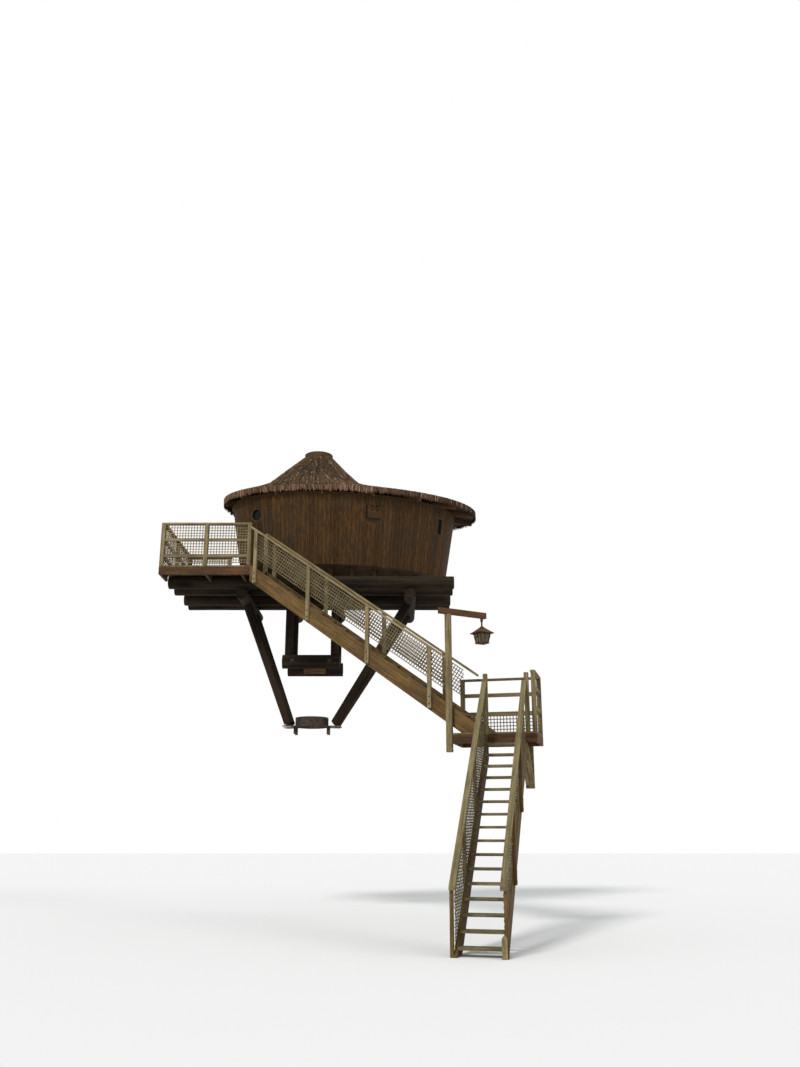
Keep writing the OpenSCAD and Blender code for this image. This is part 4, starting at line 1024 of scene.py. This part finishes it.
def put_tufts(name, first, last, seed):
    """Tufts of straw: each is a tapered three-sided blade of three rings that starts in the thatch, runs down
    the slope with its own turn and lifts a little off at its tip. A share of them hangs round the rim."""
    rng = np.random.default_rng(seed)
    count, hang = TUFTS, int(TUFTS * HANGING)
    flat = count - hang
    hangs = np.arange(count) >= flat
    i = rng.uniform(first, last, count)
    area = rng.uniform(0, 1, flat)
    slope_s = 1 - np.sqrt(np.clip(area / ON_SLOPE, 0, 1))
    cap_s = 1 + (area - ON_SLOPE) / (1 - ON_SLOPE) * 1.9
    s_tip = np.concatenate([np.where(area < ON_SLOPE, slope_s, cap_s), np.zeros(hang)])
    s_tip = np.clip(s_tip + rng.normal(0, 0.01, count), 0.004, 2.95)
    long = rng.uniform(0.14, 0.3, count)
    run = np.where(s_tip < 1, roof_ray(i)[2] - TOP_R[0], 0.55)
    s_root = np.clip(s_tip + long / np.maximum(run, 0.3), 0, 2.99)
    yaw = rng.normal(0, 0.05, count)
    lift = np.concatenate([rng.uniform(-0.012, 0.006, flat), rng.uniform(-0.05, -0.005, hang)])
    root = roof_top(i + yaw, s_root, -0.045)
    middle = roof_top(i + yaw * 0.5, (s_root + s_tip) / 2, -0.012)
    tip = roof_top(i, s_tip, lift)
    tip[:, 2] -= rng.uniform(0.04, 0.13, count) * hangs
    root = np.where(hangs[:, None], roof_top(i, 0.04, -0.03), root)
    middle = np.where(hangs[:, None], roof_top(i, 0.008, lift * 0.5), middle)
    line = np.stack([root, middle, tip], 1)
    along = unit(tip - root)
    side = unit(np.cross(along, [0, 0, 1.0]))
    over = np.cross(side, along)
    size = rng.uniform(0.005, 0.012, count)[:, None, None] * np.array([1.0, 1.0, 0.25])[:, None]
    turn = angles(3) + np.pi / 2
    u, v = size * np.cos(turn), size * np.sin(turn)
    ring = rings_from(line[:, :, None], (u * 1.7, side), (v, over))
    down = np.array([0, 0.5, 1.0])[:, None] * long[:, None, None]
    grain = stacked(down, u, v) + rng.uniform(0, 30, (count, 1, 1, 3))
    # The rim is pale, partly bleached and partly painted sunlight, least at the hut's right end, which is
    # painted in shade
    painted_sun_fade = np.clip(1.1 - 0.3 * np.maximum(tip[:, 0] - 0.9, 0), 0.35, 1)
    rim_bleach_and_sun = rng.uniform(0.1, 1.45, count) * painted_sun_fade
    tone = np.where(s_tip < 0.03, rim_bleach_and_sun, rng.uniform(0, 1, count))
    tone = np.where(rng.uniform(0, 1, count) < 0.04, 1.5, tone)
    finish(put_tubes(name, ring, grain, tone), THATCH, slot="thatch")


put_thatch_core()
for side, first, last, seed in (("front", 20, 28, 60), ("right", 28, 36, 61), ("rear", 4, 12, 62),
                                ("left", 12, 20, 63)):
    put_tufts("tufts_" + side, first, last, seed)


# The lantern

PIN = np.array([3.47812, -3.13333, 0.285])
ARM = (PIN[:2], math.radians(30))


def add_lantern():
    """Lantern of a swept hood, a tapered frame with panes, a foot and a link to the arm's pin."""
    top, foot = PIN[2] - 0.245, PIN[2] - 0.42
    hood = [(0.03, -0.002), (0.163, 0), (0.166, 0.012), (0.12, 0.045), (0.072, 0.085), (0.045, 0.112),
            (0.03, 0.118), (0.03, 0.135), (0.018, 0.14)]
    plate = [(0.04, 0), (0.1, 0.002), (0.1, 0.018), (0.085, 0.022)]
    for name, profile, base in (("lantern_hood", hood, top - 0.004), ("lantern_foot", plate, foot - 0.02)):
        rings = square_rings(ARM, profile, base)
        piece = put_tubes(name, rings[None], (rings - PIN)[None], [0.4])
        finish(piece, RED, slot="red_timber", body="lantern")
    a, b = placed(ARM, *SQUARE.T * 0.082, foot), placed(ARM, *SQUARE.T * 0.112, top)
    head = b - [0, 0, 0.008]
    following = [1, 2, 3, 0]
    middle_a, middle_b = ((level + level[following]) / 2 for level in (a, b))
    across, edge = heading(ARM, 1, 0), a[following] - a
    for name, *board in (
            ("lantern_posts", a, b, across, 0.02, 0.02, 230, 0.002),
            ("lantern_sill_bars", a, a[following], (0, 0, 1), 0.014, 0.014, 231, 0.002),
            ("lantern_head_bars", head, head[following], (0, 0, 1), 0.016, 0.014, 231, 0.002),
            ("lantern_glazing_bars", middle_a, middle_b, edge, 0.009, 0.009, 232, 0.001)):
        finish(put_boards(name, *board), RED, slot="red_timber", body="lantern")
    inward = heading(ARM, 0.006 * np.array([0, -1, 0, 1]), 0.006 * np.array([1, 0, -1, 0]))
    panes = put_boards("lantern_panes", middle_a + inward, middle_b + inward, edge, 0.175, 0.003, 233, 0.0005)
    finish(panes, LAMP_GLASS, slot="glass", body="lantern")
    link = put_boards("lantern_link", PIN + [0, 0, 0.018], PIN - [0, 0, 0.135], across, 0.034, 0.012, 234)
    finish(link, STEEL, "lantern", slot="steel", body="lantern")


add_lantern()
add_door()
add_shutter_gap_shade()
add_bolts()
add_deck_boards()
add_landing_boards()
add_small_timber()


# Timber that keeps its CAD shape, with eased edges

EASED = (
    ("trunk_pads", BROWN, "grey_timber"), ("hut_joists", RED, "log"), ("window_frames", RED, "red_timber"),
    ("shutter", WALL, "wall_board"), ("rafters", RED, "brown_timber"),
    ("yoke_front", LOG, "log"), ("yoke_rear", LOG, "log"), ("yoke_posts", LOG, "log"),
    ("deck_frame", RED, "red_timber"), ("deck_posts", PALE, "grey_timber"),
    ("deck_rails", PALE, "grey_timber"),
    ("upper_stringers", BROWN, "brown_timber"), ("upper_treads", GREY, "grey_timber"),
    ("upper_posts", PALE, "grey_timber"), ("upper_rails", PALE, "grey_timber"),
    ("landing_frame", RED, "red_timber"), ("landing_struts", GREY, "log"),
    ("landing_posts", GREY, "grey_timber"), ("landing_rails", GREY, "grey_timber"),
    ("lower_stringers", BROWN, "brown_timber"), ("lower_treads", GREY, "grey_timber"),
    ("lower_posts", BROWN, "brown_timber"), ("lower_rails", PALE, "grey_timber"),
    ("lantern_post", PALE, "brown_timber"), ("lantern_arm", RED, "red_timber"))
for number, (node, made, slot) in enumerate(EASED):
    finish(eased_copy(node, 100 + number), made, node, slot=slot)
for node, made in (("hut_floor", LINING), ("wall_plate", LINING), ("roof_collar", LINING),
                   ("yoke_rods", STEEL), ("brace_collar", STEEL), ("window_glass", GLASS)):
    repaint(node, made)


# Stage and light

FLOOR_HALF = 60.0


def add_stage():
    """A pale floor at the stair's foot, white where the camera looks past it, and soft lamps."""
    corners = np.insert(SQUARE * FLOOR_HALF, 2, FOOT_Z, axis=1)
    floor = put_mesh("studio_floor", corners, np.array([[0, 1, 2, 3]]), np.zeros((0, 3), int))
    made, tree, shader = material("studio_floor")
    fill(tree, shader, Base_Color=colour(225, 224, 220), Roughness=0.9)
    paint(floor.data, made)
    world = bpy.data.worlds.new("studio")
    bpy.context.scene.world = world
    world.use_nodes = True
    tree = world.node_tree
    tree.nodes.clear()
    out = tree.nodes.new("ShaderNodeOutputWorld")
    light = wire(tree, "Background", Color=colour(236, 240, 246), Strength=0.75)
    white = wire(tree, "Background", Color=(1, 1, 1, 1), Strength=1.0)
    path = tree.nodes.new("ShaderNodeLightPath").outputs
    seen = math_node(tree, "MAXIMUM", path["Is Camera Ray"],
                     math_node(tree, "MAXIMUM", path["Is Glossy Ray"], path["Is Transmission Ray"]))
    both = wire(tree, "MixShader", i0=seen, i1=light.outputs[0], i2=white.outputs[0])
    fill(tree, out, Surface=both.outputs[0])
    for name, energy, turn, size in (("key", 2.2, (48, 8, -38), 12), ("fill", 0.6, (60, 0, 60), 20)):
        lamp = bpy.data.lights.new(name, "SUN")
        lamp.energy = energy
        lamp.angle = math.radians(size)
        put(name, lamp).rotation_euler = [math.radians(v) for v in turn]
    bpy.context.scene.view_settings.view_transform = "Standard"


add_stage()
